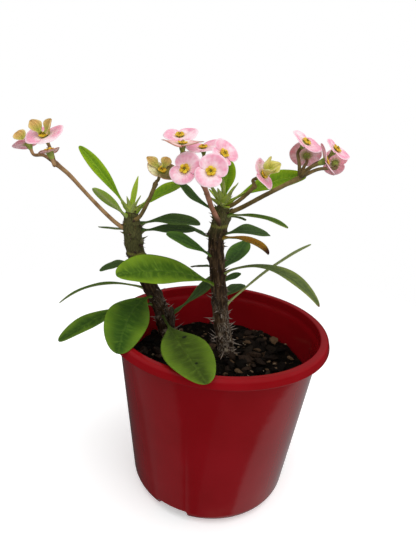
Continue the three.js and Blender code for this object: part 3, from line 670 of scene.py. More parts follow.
def smooth(low, high, value):
    share = clamp((value - low) / (high - low))
    return share * share * (3 - 2 * share)


def heading(azimuth, rise):
    flat = math.cos(math.radians(rise))
    turn = math.radians(azimuth)
    return Vector((flat * math.cos(turn), flat * math.sin(turn), math.sin(math.radians(rise))))


def skin(bm, columns, rows, place, material=0):
    """Lays a grid over place(across, along), each from 0 to 1, and keeps them as its UV map."""
    made = bmesh.ops.create_grid(
        bm, x_segments=columns, y_segments=rows, size=1, calc_uvs=True)["verts"]
    for face in {face for vert in made for face in vert.link_faces}:
        face.material_index = material
    for vert in made:
        vert.co = place((vert.co.x + 1) / 2, (vert.co.y + 1) / 2)
    return made


def close(bm):
    """Joins the seams, fills what is still open, and turns the faces outwards."""
    bmesh.ops.remove_doubles(bm, verts=bm.verts, dist=1e-3)
    bmesh.ops.holes_fill(bm, edges=[edge for edge in bm.edges if edge.is_boundary], sides=0)
    bmesh.ops.recalc_face_normals(bm, faces=bm.faces)


def piece(name, bm, materials, nodes=(), slot=None, finer=0, loose=False):
    """Finishes a mesh made in millimetres as a piece that rides with the pot.

    A loose one is made of separate flat-faced solids, which aren't joined or smoothed.
    """
    if loose:
        bmesh.ops.recalc_face_normals(bm, faces=bm.faces)
    else:
        close(bm)
    bmesh.ops.scale(bm, vec=(MM, MM, MM), verts=bm.verts)
    mesh = bpy.data.meshes.new(name)
    bm.to_mesh(mesh)
    bm.free()
    mesh.polygons.foreach_set("use_smooth", [not loose] * len(mesh.polygons))
    for material in materials:
        mesh.materials.append(material)
    made = bpy.data.objects.new(name, mesh)
    scene.collection.objects.link(made)
    if finer:
        rounding = made.modifiers.new("finer", "SUBSURF")
        rounding.levels = finer
        rounding.render_levels = finer
    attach(made, "root")
    if nodes:
        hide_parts(*nodes)
    return made


class Route:
    """A smooth curve through points, with a radius at each of its points."""

    def __init__(self, points, radii):
        points = [Vector(point) for point in points]
        self.points = [2 * points[0] - points[1], *points, 2 * points[-1] - points[-2]]
        self.radii = radii

    def at(self, share):
        spans = len(self.points) - 3
        k = min(int(clamp(share) * spans), spans - 1)
        w = clamp(share) * spans - k
        p, q, r, s = self.points[k:k + 4]
        before, here, after = ((b - a).length ** 0.5 for a, b in ((p, q), (q, r), (r, s)))
        leave = ((q - p) / before - (r - p) / (before + here) + (r - q) / here) * here
        enter = ((r - q) / here - (s - q) / (here + after) + (s - r) / after) * here
        bend = 3 * (r - q) - 2 * leave - enter
        return q + leave * w + bend * w * w + (2 * (q - r) + leave + enter) * w ** 3

    def along(self, share):
        step = 1e-3
        return (self.at(share + step) - self.at(share - step)).normalized()

    def radius(self, share):
        span = clamp(share) * (len(self.radii) - 1)
        k = min(int(span), len(self.radii) - 2)
        return lerp(self.radii[k], self.radii[k + 1], span - k)

    def share_at_height(self, z):
        low, high = 0, 1
        for _ in range(24):
            half = (low + high) / 2
            if self.at(half).z < z:
                low = half
            else:
                high = half
        return low


STEM_ROUTES = {name: Route(stem["route"], stem["radii"]) for name, stem in STEMS.items()}


def stem_point(stem, height):
    route = STEM_ROUTES[stem]
    return route.at(route.share_at_height(height))


def tube(bm, route, sides, rows, relief=None, material=0):
    """A round rod along a route. Its relief adds to the radius at a turn and a share of its length."""
    rings = []
    across = Vector((0, 1, 0))
    for i in range(rows + 1):
        along = route.along(i / rows)
        across = (across - along * across.dot(along)).normalized()
        rings.append((route.at(i / rows), across, along.cross(across), route.radius(i / rows)))

    def place(x, y):
        centre, ahead, aside, radius = rings[round(y * rows)]
        turn = 2 * math.pi * x
        out = ahead * math.cos(turn) + aside * math.sin(turn)
        if relief:
            radius += relief(centre, out, y, radius)
        return centre + out * radius

    return skin(bm, sides, rows, place, material)


# ---- leaves ----
BLADE_THICKNESS = 0.55
PETIOLE_THICKNESS = 1.7
PETIOLE_FLARE = 0.9
FLARE_REACH = (5, 9)
MARGIN_WAVES = 2.3
TIP_WIDTH = 0.12
RIB_RISE = 0.8
RIB_WIDTH = 0.75
LEAF_GRID = (34, 12)
TUFT_GRID = (14, 6)
YOUNG_BRACT_GRID = (14, 8)
YOUNG_DROOP = 10


def half_width(shape, width, stalk, share):
    u = clamp((share - stalk) / (1 - stalk))
    power = math.log(0.5) / math.log(shape["widest"])
    fullness = lerp(shape["taper"], shape["roundness"], u)
    flat = width / 2 * max(math.sin(math.pi * u ** power), 0) ** fullness
    least = lerp(shape["petiole"], TIP_WIDTH, smooth(0.2, 1, u))
    return (flat ** 4 + least ** 4) ** 0.25


def rib_frames(foot, spec, shares):
    """Down a leaf's midrib: the point, and the directions along, across and up there."""
    azimuth, rise, droop, length, roll, turn = spec
    frames = []
    rib = foot.copy()
    for here, after in zip(shares, [*shares[1:], shares[-1]]):
        along = heading(azimuth + turn * here, rise - droop * here)
        level = heading(azimuth + turn * here - 90, 0)
        across = Quaternion(along, -math.radians(roll)) @ level
        frames.append((rib.copy(), along, across, across.cross(along)))
        middle = (here + after) / 2
        rib += heading(azimuth + turn * middle, rise - droop * middle) * (length * (after - here))
    return frames


def leaf_blade(bm, foot, spec, shape, width, stalk, grid, seed, curl=0):
    """A leaf with its petiole: two sheets that meet along the margin."""
    rows, columns = grid
    shares = [1 - (1 - i / rows) ** shape["crowding"] for i in range(rows + 1)]
    frames = rib_frames(foot, spec, shares)
    from_rib = bm.verts.layers.float["from_rib"]
    flares = [1 + PETIOLE_FLARE * (1 - smooth(*FLARE_REACH, share * spec[3])) for share in shares]
    halves = [half_width(shape, width, stalk, share) * flare for share, flare in zip(shares, flares)]
    phase = seed * 1.7
    crease = shape["crease"]

    def sheet(side):
        def place(x, y):
            i = round(y * rows)
            share = shares[i]
            rib, _, across, up = frames[i]
            c = 2 * x - 1
            v = c * (0.35 + 0.65 * c * c)
            off = v * halves[i]
            blade = smooth(stalk, stalk + 0.2, share)
            beat = MARGIN_WAVES * math.tau * share + phase + (2 if v > 0 else 0)
            wave = 0.05 * halves[i] * v * v * math.sin(beat)
            wave += 0.25 * blade * noise.noise(Vector((share * 5, v * 1.5, seed * 3.1)))
            bend = (math.hypot(v, crease) - crease) / (math.hypot(1, crease) - crease)
            rise = shape["fold"] * (1 + curl * share * share * 4) * bend * halves[i]
            ridge = math.exp(-((off / RIB_WIDTH) ** 2)) * blade * (1 - 0.8 * share)
            full = flares[i] * lerp(PETIOLE_THICKNESS, BLADE_THICKNESS, blade) * min(1, i, rows - i)
            thick = full / 2 * math.sqrt(max(1 - v * v, 0))
            if side > 0:
                depth = thick - 0.3 * ridge
            else:
                depth = -thick - RIB_RISE * ridge
            if i in (0, rows) or abs(v) > 0.999:
                depth = 0
            return rib + across * off + up * (rise + wave + depth)

        return place

    for material, side in ((0, 1), (1, -1)):
        verts = skin(bm, columns, rows, sheet(side), material)
        for vert in verts:
            rib, _, across, _ = min(frames, key=lambda item: (item[0] - vert.co).length_squared)
            vert[from_rib] = abs((vert.co - rib).dot(across))


def leaf_spec(leaf):
    return leaf.heading, leaf.rise, leaf.droop, leaf.length, leaf.roll, leaf.turn


def leaf_foot(leaf):
    return stem_point(leaf.name.split("_")[1], leaf.height)


def speck_places():
    """Where the dark specks lie on the spotted leaf, in metres, with their radii."""
    leaf = next(leaf for leaf in LEAVES if leaf.look == "spotted")
    places = []
    for share, side, radius in LEAF_SPECKS:
        shares = [share * i / 20 for i in range(21)]
        rib, _, across, up = rib_frames(leaf_foot(leaf), leaf_spec(leaf), shares)[-1]
        half = half_width(BLADE, leaf.width, leaf.stalk, share)
        centre = rib + across * (side * half) + up * (BLADE["fold"] * abs(side) * half)
        places.append((centre * MM, radius * MM))
    return places


def make_leaves(finishes):
    for number, leaf in enumerate(LEAVES):
        bm = new_mesh()
        curl = 1 if leaf.look == "yellowed" else 0
        foot, spec = leaf_foot(leaf), leaf_spec(leaf)
        leaf_blade(bm, foot, spec, BLADE, leaf.width, leaf.stalk, LEAF_GRID, number, curl)
        piece(f"{leaf.name}_blade", bm, finishes[leaf.look], [leaf.name], leaf.slot, finer=1)


def make_tufts(finishes):
    for name, stem, height, leaves in TUFTS:
        foot = stem_point(stem, height)
        bm = new_mesh()
        for number, (azimuth, rise, length, width) in enumerate(leaves):
            spec = (azimuth, rise, YOUNG_DROOP, length, 0, 0)
            leaf_blade(bm, foot, spec, YOUNG_BLADE, width, STALK_SHARE, TUFT_GRID, number)
        piece(f"{name}_leaves", bm, finishes["young"], [name], "leaf_bright", finer=1)


# ---- blooms ----
BRACT_REACH = 103
BRACT_INNER = 1.5
# radius, height
CUP_PROFILE = [
    (0.02, -4.3), (0.95, -4.2), (1.25, -3.2), (1.7, -2), (1.95, -0.6), (2, 0.6), (1.75, 1.1),
    (1.2, 1.1), (0.8, 0.95), (0.02, 0.9),
]
GLAND_PLACE = 1.9
BRACT_THICKNESS = 0.5
BRACT_LIFT = 0.24
YOUNG_APART = 1.6
YOUNG_FOOT = 1.2
BRACT_SHARES = {1: 1.05, -1: 0.96}
BRACT_GRID = (18, 9)


def bloom_frame(bloom):
    facing = heading(bloom.heading, bloom.rise)
    level = heading(bloom.heading + 90, 0)
    along = Quaternion(facing, math.radians(bloom.spread)) @ level
    side = facing.cross(along)
    turn = Matrix((along, side, facing)).transposed().to_4x4()
    return Matrix.Translation(Vector(bloom.middle)) @ turn


def bract(bm, matrix, size, half_turn, above, seed):
    """One kidney-shaped bract: two sheets that meet along its margin. Above is 1 for the upper one."""
    reach_angle = math.radians(BRACT_REACH)
    plump = BRACT_SHARES[above] * (1 + 0.04 * math.sin(seed * 2.3 + half_turn))

    def sheet(side):
        def place(x, y):
            c = 2 * x - 1
            phi = c * reach_angle
            outline = size * plump * math.cos(0.55 * phi) ** 0.5 * (1 - 0.42 * abs(c) ** 8)
            outline *= 1 + 0.03 * math.exp(-((phi / 0.16) ** 2))
            radius = lerp(BRACT_INNER, outline, y ** 0.85)
            reach = (radius - BRACT_INNER) / (size - BRACT_INNER)
            turn = phi + half_turn
            height = BRACT_LIFT * size * math.cos(phi / 1.2) * reach
            height += 0.06 * size * reach ** 2 * math.sin(3 * phi + seed * 1.9 + half_turn)
            height -= 0.07 * size * reach ** 5
            crinkle = Vector((3 * math.cos(turn) * reach, 3 * math.sin(turn) * reach, seed))
            height += 0.4 * noise.noise(crinkle)
            height += above * (0.3 + 0.5 * abs(c) ** 3) * reach
            thick = BRACT_THICKNESS / 2 * math.sqrt(max((1 - c ** 8) * (1 - y ** 8), 0))
            if y == 0:
                thick = 0
            flat = Vector((radius * math.cos(turn), radius * math.sin(turn), height + side * thick))
            return matrix @ flat

        return place

    for material, side in ((0, 1), (1, -1)):
        skin(bm, *BRACT_GRID, sheet(side), material)


def lathe(bm, matrix, profile, sides):
    """Turns a profile of radius and height round the axis of a frame."""
    def place(x, y):
        radius, height = profile[round(y * (len(profile) - 1))]
        turn = 2 * math.pi * x
        return matrix @ Vector((radius * math.cos(turn), radius * math.sin(turn), height))

    skin(bm, sides, len(profile) - 1, place)


def lump(bm, matrix, size, material=0, around=10, rings=6):
    scale = Matrix.Diagonal((*size, 1))
    made = bmesh.ops.create_uvsphere(
        bm, u_segments=around, v_segments=rings, radius=1, matrix=matrix @ scale, calc_uvs=True)["verts"]
    for face in {face for vert in made for face in vert.link_faces}:
        face.material_index = material
    return made


def cyathium(bm, matrix, seed):
    """The green cup of a bloom, its five glands and the stamens in its mouth."""
    def put(turn, out, height, size, *settings, tilt=0):
        at = matrix @ Matrix.Rotation(math.radians(turn), 4, "Z")
        at = at @ Matrix.Translation((out, 0, height)) @ Matrix.Rotation(math.radians(tilt), 4, "Y")
        lump(bm, at, size, *settings)

    lathe(bm, matrix, CUP_PROFILE, 15)
    for k in range(5):
        put(72 * k + seed * 31, GLAND_PLACE, 1.35, (1.05, 1.4, 0.5), 1, tilt=-14)
        put(72 * k + 36 + seed * 31, 1, 1.4, (0.5, 0.66, 0.5), 1, 6, 4)
    for k in range(4):
        top = 1.9 + 0.5 * ((k * 7 + seed) % 3) / 2
        put(90 * k + seed * 17, 0.55, top / 2, (0.16, 0.16, top / 2), 0, 6, 4)
        put(90 * k + seed * 17, 0.55, top, (0.42, 0.3, 0.3), 2, 6, 4)


def make_bloom(bloom, number, finishes):
    name, slot = bloom.name, bloom.slot
    matrix = bloom_frame(bloom)
    bm = new_mesh()
    bract(bm, matrix, bloom.radius, 0, 1, number)
    bract(bm, matrix, bloom.radius, math.pi, -1, number)
    piece(f"{name}_bracts", bm, finishes.get(name, finishes[slot]), [name], slot, finer=1)
    bm = new_mesh()
    cyathium(bm, matrix, number)
    piece(f"{name}_cup", bm, finishes["cup"], finer=1)


def pedicel_route(fork, bloom):
    facing = heading(bloom.heading, bloom.rise)
    end = Vector(bloom.middle) + facing * (1 - CUP_DEPTH)
    before = end - facing * 4
    half = (fork + before) / 2
    half.z += 0.08 * (end - fork).length
    return Route([fork, half, before, end], PEDICEL_RADII)


def make_spray(spray, first_number, finishes):
    fork = Vector(spray["route"][-1])
    stalk = Route(spray["route"], spray["radii"])

    def swelling(centre, out, share, radius):
        lumps = 0.12 * noise.noise(centre * 0.5 + out)
        joint = 0.35 * math.exp(-(((share - 0.97) / 0.03) ** 2))
        return lumps + joint + 0.5 * math.exp(-((share / 0.07) ** 2))

    bm = new_mesh()
    tube(bm, stalk, 10, 44, swelling)
    for bloom in spray["blooms"]:
        tube(bm, pedicel_route(fork, bloom), 8, 16)
    lump(bm, Matrix.Translation(fork), (1.75, 1.75, 1.6))
    piece(f"{spray['name']}_twigs", bm, [finishes[spray["stalk"]]], [spray["name"]], "stalk", finer=1)
    for number, bloom in enumerate(spray["blooms"], first_number):
        make_bloom(bloom, number, finishes)
    if spray["young"]:
        bm = new_mesh()
        for number, (index, azimuth, rise, length, width, roll) in enumerate(spray["young"]):
            bloom = spray["blooms"][index]
            foot = Vector(bloom.middle) + heading(bloom.heading, bloom.rise) * YOUNG_FOOT
            foot += heading(azimuth, 0) * YOUNG_APART
            spec = (azimuth, rise, YOUNG_DROOP, length, roll, 0)
            leaf_blade(bm, foot, spec, YOUNG_BRACT, width, STALK_SHARE, YOUNG_BRACT_GRID, number)
        finish = finishes[f"young_{spray['young_look']}"]
        piece(f"{spray['name']}_young_bracts", bm, [finish], slot="bract_aged", finer=1)


# ---- stems ----
KNOB_SPACING = 2.2
THORN_SPREAD = 34
COLLAR = 17


def stem_knobs(stem, seed):
    """The knobs of old leaf bases up a stem: share of its length, turn, and height from 0 to 1."""
    rng = random.Random(seed)
    route = STEM_ROUTES[stem]
    low = SOIL_LEVEL + 1
    high = STEMS[stem]["route"][-1][2] - 3
    knobs = []
    z = low
    while z < high:
        turn = len(knobs) * GOLDEN_ANGLE + rng.uniform(-10, 10)
        knobs.append((route.share_at_height(z), turn, (z - low) / (high - low)))
        z += KNOB_SPACING * rng.uniform(0.75, 1.25)
    return knobs


def knob_thorns(knobs, seed):
    """Two long thorns and two stunted ones on each knob: share, direction and length."""
    rng = random.Random(seed)
    for share, turn, height in knobs:
        longest = lerp(10.5, 4.6, smooth(0, 0.45, height))
        for side, size in ((-1, 1), (1, 1), (-0.3, 0.45), (0.5, 0.35)):
            azimuth = turn + side * THORN_SPREAD / 2 + rng.uniform(-8, 8)
            out = heading(azimuth, lerp(18, 2, height) + rng.uniform(-24, 24))
            yield share, out, longest * size * rng.uniform(0.25, 1.15)


def stem_relief(stem, knobs):
    """Bark ridges, knobs and a rounded tip, as an addition to the radius."""
    route = STEM_ROUTES[stem]
    middles = [
        (route.at(share), heading(turn, 0), 1 + 0.5 * math.sin(turn)) for share, turn, _ in knobs]

    def relief(centre, out, share, radius):
        surface = centre + out * radius
        grain = noise.noise(Vector((out.x * 2.6, out.y * 2.6, centre.z * 0.09))) * 0.6
        grain += noise.noise(Vector((out.x * 7, out.y * 7, centre.z * 0.25 + 9))) * 0.3
        knob = 0
        for middle, direction, size in middles:
            rise = centre.z - middle.z
            if abs(rise) < 6:
                apart = (middle + direction * radius - surface).length
                apart = math.hypot(apart, rise * (0.5 if rise > 0 else -0.1))
                knob = max(knob, 1.25 * size * math.exp(-((apart / 1.7) ** 2)))
        rounding = radius * (math.sqrt(max(1 - (max(share - 0.95, 0) / 0.05) ** 2, 0.01)) - 1)
        return (grain + knob) * (1 - smooth(0.96, 1, share)) + rounding

    return relief


def mark_scars(bm, made, stem, knobs):
    """Gives the bark's tint attribute its scars, above some of the knobs."""
    rng = random.Random(8)
    route = STEM_ROUTES[stem]
    tint = bm.verts.layers.float["tint"]
    scars = []
    for share, turn, _ in knobs:
        middle = route.at(share) + heading(turn, 0) * route.radius(share)
        if rng.random() < 0.22:
            scars.append(middle + Vector((0, 0, 1.6)))
    for vert in made:
        apart = min(math.hypot((vert.co - scar).length, (vert.co.z - scar.z)) for scar in scars)
        vert[tint] = 1 - smooth(0.8, 2.2, apart)


def needle(bm, foot, out, length, thickness, material=0):
    """A thorn with a broad foot, bent a little upwards."""
    tip = foot + out * length + Vector((0, 0, 0.05 * length))
    route = Route([foot, (foot + tip) / 2 - Vector((0, 0, 0.02 * length)), tip], [1, 1, 1])

    def taper(centre, ring, share, radius):
        return thickness * (0.55 * (1 - share) + 0.9 * (1 - share) ** 5) + 0.04 - radius

    tube(bm, route, 5, 5, taper, material)


def make_stems(finishes):
    for stem, parts, seed in (("main", ["main"], 3), ("left", ["left", "shoot"], 5)):
        route = STEM_ROUTES[stem]
        knobs = stem_knobs(stem, seed)
        bm = new_mesh()
        for part in parts:
            grid, grown = ((32, 132), knobs) if part == stem else ((18, 40), [])
            made = tube(bm, STEM_ROUTES[part], *grid, stem_relief(part, grown))
            if part == stem:
                mark_scars(bm, made, stem, knobs)
        piece(f"stem_{stem}_bark", bm, [finishes[f"bark_{stem}"]], [f"stem_{stem}"], "bark", finer=1)
        bm = new_mesh()
        for share, out, length in knob_thorns(knobs, seed):
            foot = route.at(share) + out * (route.radius(share) - 0.6)
            needle(bm, foot, out, length + 0.6, lerp(0.75, 1.05, smooth(0.3, 0.7, share)))
        piece(f"stem_{stem}_thorns", bm, [finishes["thorn"]], slot="bark")
        bm = new_mesh()
        rng = random.Random(seed + 20)
        top = STEMS[stem]["route"][-1][2]
        for number in range(COLLAR):
            share = route.share_at_height(top - 2 - 20 * number / COLLAR)
            out = heading(number * GOLDEN_ANGLE + rng.uniform(-12, 12), rng.uniform(15, 50))
            foot = route.at(share) + out * (route.radius(share) - 1.2)
            needle(bm, foot, out, rng.uniform(3.4, 6), rng.uniform(1.7, 2.5))
        piece(f"stem_{stem}_leaf_bases", bm, [finishes["leaf_base"]], slot="bark", finer=1)


# ---- soil ----
SOIL_SIDES = 96
SOIL_ROWS = 44
SOIL_SIDE_ROWS = 6
# height, pitch, layer of the noise
SOIL_LUMPS = [(1.4, 0.16, 3), (1.2, 0.45, 7)]
CHIPS = 620
CHIP_SIZES = (0.5, 1.5)
CHIP_TINT = 0.97
STONES = 130
STONE_SIZES = (1.5, 4)
STONE_TINT = 0.85
HEAP = (30, 30)
HEAP_REACH = 17
HEAP_HEIGHT = 3.2


def soil_height(x, y):
    ripple = math.sin(x * 0.21 + 1.3) * math.cos(y * 0.17 - 0.6) + 0.5 * math.sin(x * 0.47 - y * 0.39)
    edge = (math.hypot(x, y) / WALL_TOP_RADIUS) ** 4
    return SOIL_LEVEL + SOIL_SWELL * ripple + SOIL_EDGE_RISE * edge


def heap(x, y):
    """The rise of a small heap of bark behind the stems."""
    return HEAP_HEIGHT * math.exp(-(((x - HEAP[0]) ** 2 + (y - HEAP[1]) ** 2) / HEAP_REACH ** 2))


def wall_radius(z):
    return lerp(BASE_RADIUS, WALL_TOP_RADIUS, z / LIP_BOTTOM)


def soil_reach(z):
    return wall_radius(z) - WALL - 0.35


def make_soil(finish):
    foot = FLOOR + 0.3

    def place(x, y):
        turn = 2 * math.pi * x
        i = round(y * SOIL_ROWS)
        if i <= SOIL_SIDE_ROWS:
            share = i / SOIL_SIDE_ROWS
            radius = (soil_reach(0) - CORNER_ROUNDING) * min(1, 2 * share)
            z = foot
            if share > 0.5:
                z = lerp(foot, SOIL_LEVEL - 1, 2 * share - 1)
                corner = 1 - smooth(foot, foot + CORNER_ROUNDING, z)
                radius = soil_reach(z) - CORNER_ROUNDING * corner
            return Vector((radius * math.cos(turn), radius * math.sin(turn), z))
        inward = (i - SOIL_SIDE_ROWS) / (SOIL_ROWS - SOIL_SIDE_ROWS)
        radius = soil_reach(SOIL_LEVEL) * (1 - inward)
        x, y = radius * math.cos(turn), radius * math.sin(turn)
        lumps = heap(x, y)
        for height, pitch, layer in SOIL_LUMPS:
            lumps += height * noise.noise(Vector((x * pitch, y * pitch, layer)))
        return Vector((x, y, soil_height(x, y) + lumps * smooth(0, 12, radius)))

    bm = new_mesh()
    skin(bm, SOIL_SIDES, SOIL_ROWS, place)
    piece("soil_bed", bm, [finish], ["soil"], "soil", finer=1)


def chip(bm, rng, at, size, detail, tint):
    """An angular flake of bark or grit, half sunk where it lies."""
    stretch = (size * rng.uniform(0.7, 1.7), size * rng.uniform(0.6, 1), size * rng.uniform(0.25, 0.6))
    matrix = Matrix.Translation(at)
    for low, high, axis in ((0, math.tau, "Z"), (-0.6, 0.6, "X"), (-0.5, 0.5, "Y")):
        matrix = matrix @ Matrix.Rotation(rng.uniform(low, high), 4, axis)
    matrix = matrix @ Matrix.Diagonal((*stretch, 1))
    made = bmesh.ops.create_icosphere(
        bm, subdivisions=detail, radius=1, matrix=matrix, calc_uvs=True)["verts"]
    layer = bm.verts.layers.float["tint"]
    for vert in made:
        vert.co += Vector([rng.uniform(-0.16, 0.16) * size for _ in range(3)])
        vert[layer] = tint


def make_chips(finish):
    rng = random.Random(21)
    bm = new_mesh()
    for number in range(CHIPS + STONES):
        large = number >= CHIPS
        radius = (wall_radius(SOIL_LEVEL) - 5) * math.sqrt(rng.random())
        turn = number * math.radians(GOLDEN_ANGLE)
        x, y = radius * math.cos(turn), radius * math.sin(turn)
        size = rng.uniform(*(STONE_SIZES if large else CHIP_SIZES))
        if number % 3 == 0:
            x, y = lerp(HEAP[0], x, 0.4), lerp(HEAP[1], y, 0.4)
            size *= 1.2
        at = Vector((x, y, soil_height(x, y) + heap(x, y) + rng.uniform(0, 0.9) + 0.2 * size))
        tint = rng.random() * (STONE_TINT if large else CHIP_TINT)
        chip(bm, rng, at, size, 2 if large else 1, tint)
    piece("soil_chips", bm, [finish], slot="soil", loose=True)


# ---- pot ----
POT_SIDES = 160
SHARP_ANGLE = 38


def pot_profile():
    """The pot's section as radius, height and rounding of each corner."""
    return [
        (0, 0, 0),
        (BASE_RADIUS - 0.4, 0, CORNER_ROUNDING),
        (WALL_TOP_RADIUS, LIP_BOTTOM, 0.7),
        (LIP_RADIUS, LIP_BOTTOM, 1),
        (LIP_TOP_RADIUS + 0.3, POT_HEIGHT, 1.6),
        (THROAT_RADIUS, POT_HEIGHT, 1),
        (THROAT_RADIUS, STEP_HEIGHT, 1),
        (wall_radius(STEP_HEIGHT) - WALL, STEP_HEIGHT - 3, 1.5),
        (BASE_RADIUS - WALL, FLOOR, CORNER_ROUNDING - WALL),
        (0, FLOOR, 0),
    ]


def slot_cutter(turn):
    """A block with rounded corners, lying through the foot of the wall at a turn."""
    bm = bmesh.new()
    bmesh.ops.create_cube(bm, size=1)
    bmesh.ops.scale(bm, vec=(4 * SLOT_REACH, SLOT_WIDTH, 2 * SLOT_HEIGHT), verts=bm.verts)
    lengthwise = [e for e in bm.edges if abs((e.verts[0].co - e.verts[1].co).x) > SLOT_REACH]
    bmesh.ops.bevel(
        bm, geom=lengthwise, offset=1.6, segments=5, profile=0.5, affect="EDGES", material=-1)
    bmesh.ops.translate(bm, vec=(BASE_RADIUS + SLOT_REACH, 0, 0), verts=bm.verts)
    bmesh.ops.rotate(bm, cent=(0, 0, 0), matrix=Matrix.Rotation(turn, 3, "Z"), verts=bm.verts)
    return bm


def hole_cutter(turn):
    bm = bmesh.new()
    at = Matrix.Translation((HOLE_CIRCLE * math.cos(turn), HOLE_CIRCLE * math.sin(turn), 0))
    bmesh.ops.create_cone(
        bm, cap_ends=True, segments=32, radius1=HOLE_RADIUS, radius2=HOLE_RADIUS, depth=4 * FLOOR,
        matrix=at)
    return bm


def cut_away(target, cutter_bm):
    """Cuts a closed mesh made in millimetres out of a piece."""
    bmesh.ops.scale(cutter_bm, vec=(MM, MM, MM), verts=cutter_bm.verts)
    mesh = bpy.data.meshes.new("cutter")
    cutter_bm.to_mesh(mesh)
    cutter_bm.free()
    cutter = bpy.data.objects.new("cutter", mesh)
    scene.collection.objects.link(cutter)
    cut = target.modifiers.new("cut", "BOOLEAN")
    cut.operation = "DIFFERENCE"
    cut.solver = "EXACT"
    cut.object = cutter
    bpy.context.view_layer.update()
    depsgraph = bpy.context.evaluated_depsgraph_get()
    result = bpy.data.meshes.new_from_object(target.evaluated_get(depsgraph))
    target.modifiers.clear()
    target.data = result
    bpy.data.objects.remove(cutter)


def make_pot(finish):
    bm = bmesh.new()
    corners = pot_profile()
    verts = [bm.verts.new((radius, 0, z)) for radius, z, _ in corners]
    for a, b in zip(verts, verts[1:]):
        bm.edges.new((a, b))
    for vert, (_, _, rounding) in zip(verts, corners):
        if rounding:
            segments = 10 if rounding > 2 else 5
            bmesh.ops.bevel(
                bm, geom=[vert], offset=rounding, segments=segments, profile=0.5,
                affect="VERTICES", material=-1)
    bmesh.ops.spin(
        bm, geom=bm.verts[:] + bm.edges[:], cent=(0, 0, 0), axis=(0, 0, 1), dvec=(0, 0, 0),
        angle=math.tau, steps=POT_SIDES, use_merge=True)
    made = piece("pot_shell", bm, [finish], ["pot"], "pot")
    for k in range(SLOTS):
        cut_away(made, slot_cutter(math.radians(FIRST_SLOT + k * 360 / SLOTS)))
    for k in range(HOLES):
        cut_away(made, hole_cutter(math.radians((k + 0.5) * 360 / HOLES)))
    made.data.polygons.foreach_set("use_smooth", [True] * len(made.data.polygons))
    made.data.set_sharp_from_angle(angle=math.radians(SHARP_ANGLE))


# ---- studio ----
CAMERA_TARGET = (-9.9, 0, 142.8)
CAMERA_DISTANCE = 262
CAMERA_ELEVATION = 18.9
CAMERA_ROLL = 4.41
FOCAL_PIXELS = 420
ROOM_GLOW = 0.52
CEILING_GLOW = 0.12
WINDOW_GLOW = 0.72
FLOOR_GLOW = 0.3
# Panels that glossy surfaces mirror: side (1 right, -1 left), slant, edge from and to, brightness
PANELS = [
    (1, 5.38, 4.6, 4.7, 0.035), (1, 4.04, 4.52, 4.64, 0.24), (-1, 3.93, 4.04, 4.14, 0.09),
    (-1, 1.92, 3.3, 3.42, -0.06),
]
PANEL_BASE = 0.03
MIRRORED_CEILING = 0.16
# name, place, size, power
LIGHTS = [
    ("overhead", (0.05, -0.3, 1.0), (0.9, 0.7), 3.7),
    ("front_fill", (-0.2, -1, 0.6), (0.8, 0.4), 1.6),
]
LIT_PLACE = (0, 0, 0.12)
FRAME_HEIGHT = 555
SENSOR = 36


def make_camera():
    data = bpy.data.cameras.new("camera")
    data.sensor_width = SENSOR
    data.lens = FOCAL_PIXELS / FRAME_HEIGHT * SENSOR
    data.clip_start = 0.01
    camera = bpy.data.objects.new("camera", data)
    scene.collection.objects.link(camera)
    elevation, roll = math.radians(CAMERA_ELEVATION), math.radians(CAMERA_ROLL)
    ahead = Vector((0, math.cos(elevation), -math.sin(elevation)))
    up = Vector((0, math.sin(elevation), math.cos(elevation)))
    right = Vector((1, 0, 0))
    rolled_right = math.cos(roll) * right + math.sin(roll) * up
    rolled_up = math.cos(roll) * up - math.sin(roll) * right
    turn = Matrix((rolled_right, rolled_up, -ahead)).transposed().to_4x4()
    at = Vector(CAMERA_TARGET) - ahead * CAMERA_DISTANCE
    camera.matrix_world = Matrix.Translation(at * MM) @ turn
    scene.camera = camera


def area_light(name, at, size, power):
    data = bpy.data.lights.new(name, "AREA")
    data.shape = "RECTANGLE"
    data.size, data.size_y = size
    data.energy = power
    light = bpy.data.objects.new(name, data)
    scene.collection.objects.link(light)
    light.location = at
    light.rotation_euler = (Vector(LIT_PLACE) - Vector(at)).to_track_quat("-Z", "Y").to_euler()
    light.visible_camera = False
    light.visible_glossy = False


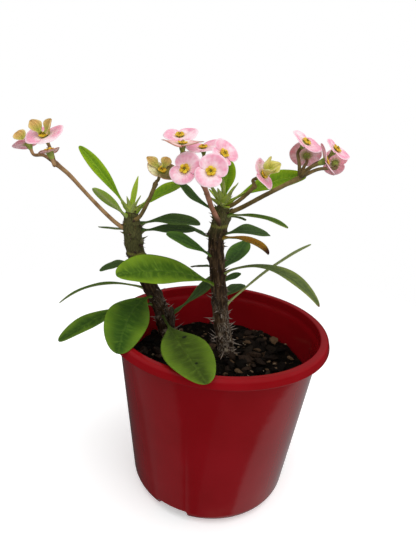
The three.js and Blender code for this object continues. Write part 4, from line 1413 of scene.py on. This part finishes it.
def make_world():
    """White to the camera, a soft room to the plant, and panels at both sides to glossy surfaces."""
    world = bpy.data.worlds.new("studio")
    scene.world = world
    paint = Paint("studio", world)
    x, y, z = paint.axes(paint.node("TexCoord", {}, {}, "Generated"))
    turn = paint.math("ARCTAN2", x, -1 * y)
    panels = PANEL_BASE
    for side, slant, low, high, brightness in PANELS:
        panels += (side * turn - z * slant).over(low, high) * brightness
    mirrored = panels * z.over(0, -0.1) + z.over(-0.1, 0.6) * MIRRORED_CEILING
    glow = ROOM_GLOW + z.over(-0.05, 0.5) * CEILING_GLOW + x.over(0.2, 1) * WINDOW_GLOW
    glossy = paint.node("LightPath", {}, {}, "Is Glossy Ray")
    seen = paint.node("LightPath", {}, {}, "Is Camera Ray")
    strength = seen + (1 - seen) * (glossy * mirrored + (1 - glossy) * glow)
    paint.feed(paint.tree.nodes["Background"], {"Color": (1, 1, 1, 1), "Strength": strength})


def make_floor():
    bm = bmesh.new()
    bmesh.ops.create_grid(bm, x_segments=1, y_segments=1, size=2)
    bmesh.ops.translate(bm, vec=(0, 0, -0.0003), verts=bm.verts)
    mesh = bpy.data.meshes.new("floor")
    bm.to_mesh(mesh)
    bm.free()
    mesh.materials.append(floor_finish())
    floor = bpy.data.objects.new("floor", mesh)
    scene.collection.objects.link(floor)
    floor.visible_glossy = False
    floor.visible_diffuse = False


def make_studio():
    make_camera()
    make_world()
    make_floor()
    for light in LIGHTS:
        area_light(*light)
    scene.view_settings.view_transform = "Standard"


# ---- the plant ----
leaf_paints = {look: [leaf_top(look), leaf_underside(look)] for look in LEAF_LOOKS}
plant_finishes = {
    **{look: stalk_finish(look) for look in STALK_LOOKS},
    "bract_pink": [pink_top(), pink_underside()],
    "bract_aged": [aged_bract()],
    **dict.fromkeys(("bloom_left_young", "bloom_centre_flat"), [fading_bract()]),
    "cup": [mottled(*row) for row in CUP_FINISHES],
    **{f"young_{look}": young_bract(look) for look in YOUNG_LOOKS},
    "bark_main": bark("bark_main", 0.172, 0.186, 0.9),
    "bark_left": bark("bark_left", 0.15, 0.166, 0.5),
    "thorn": thorn(),
    "leaf_base": leaf_base(),
}
make_leaves(leaf_paints)
make_tufts(leaf_paints)
bloom_count = 0
for spray in SPRAYS:
    make_spray(spray, bloom_count, plant_finishes)
    bloom_count += len(spray["blooms"])
make_stems(plant_finishes)
make_soil(soil_finish())
make_chips(chip_finish())
make_pot(pot_finish())
make_studio()
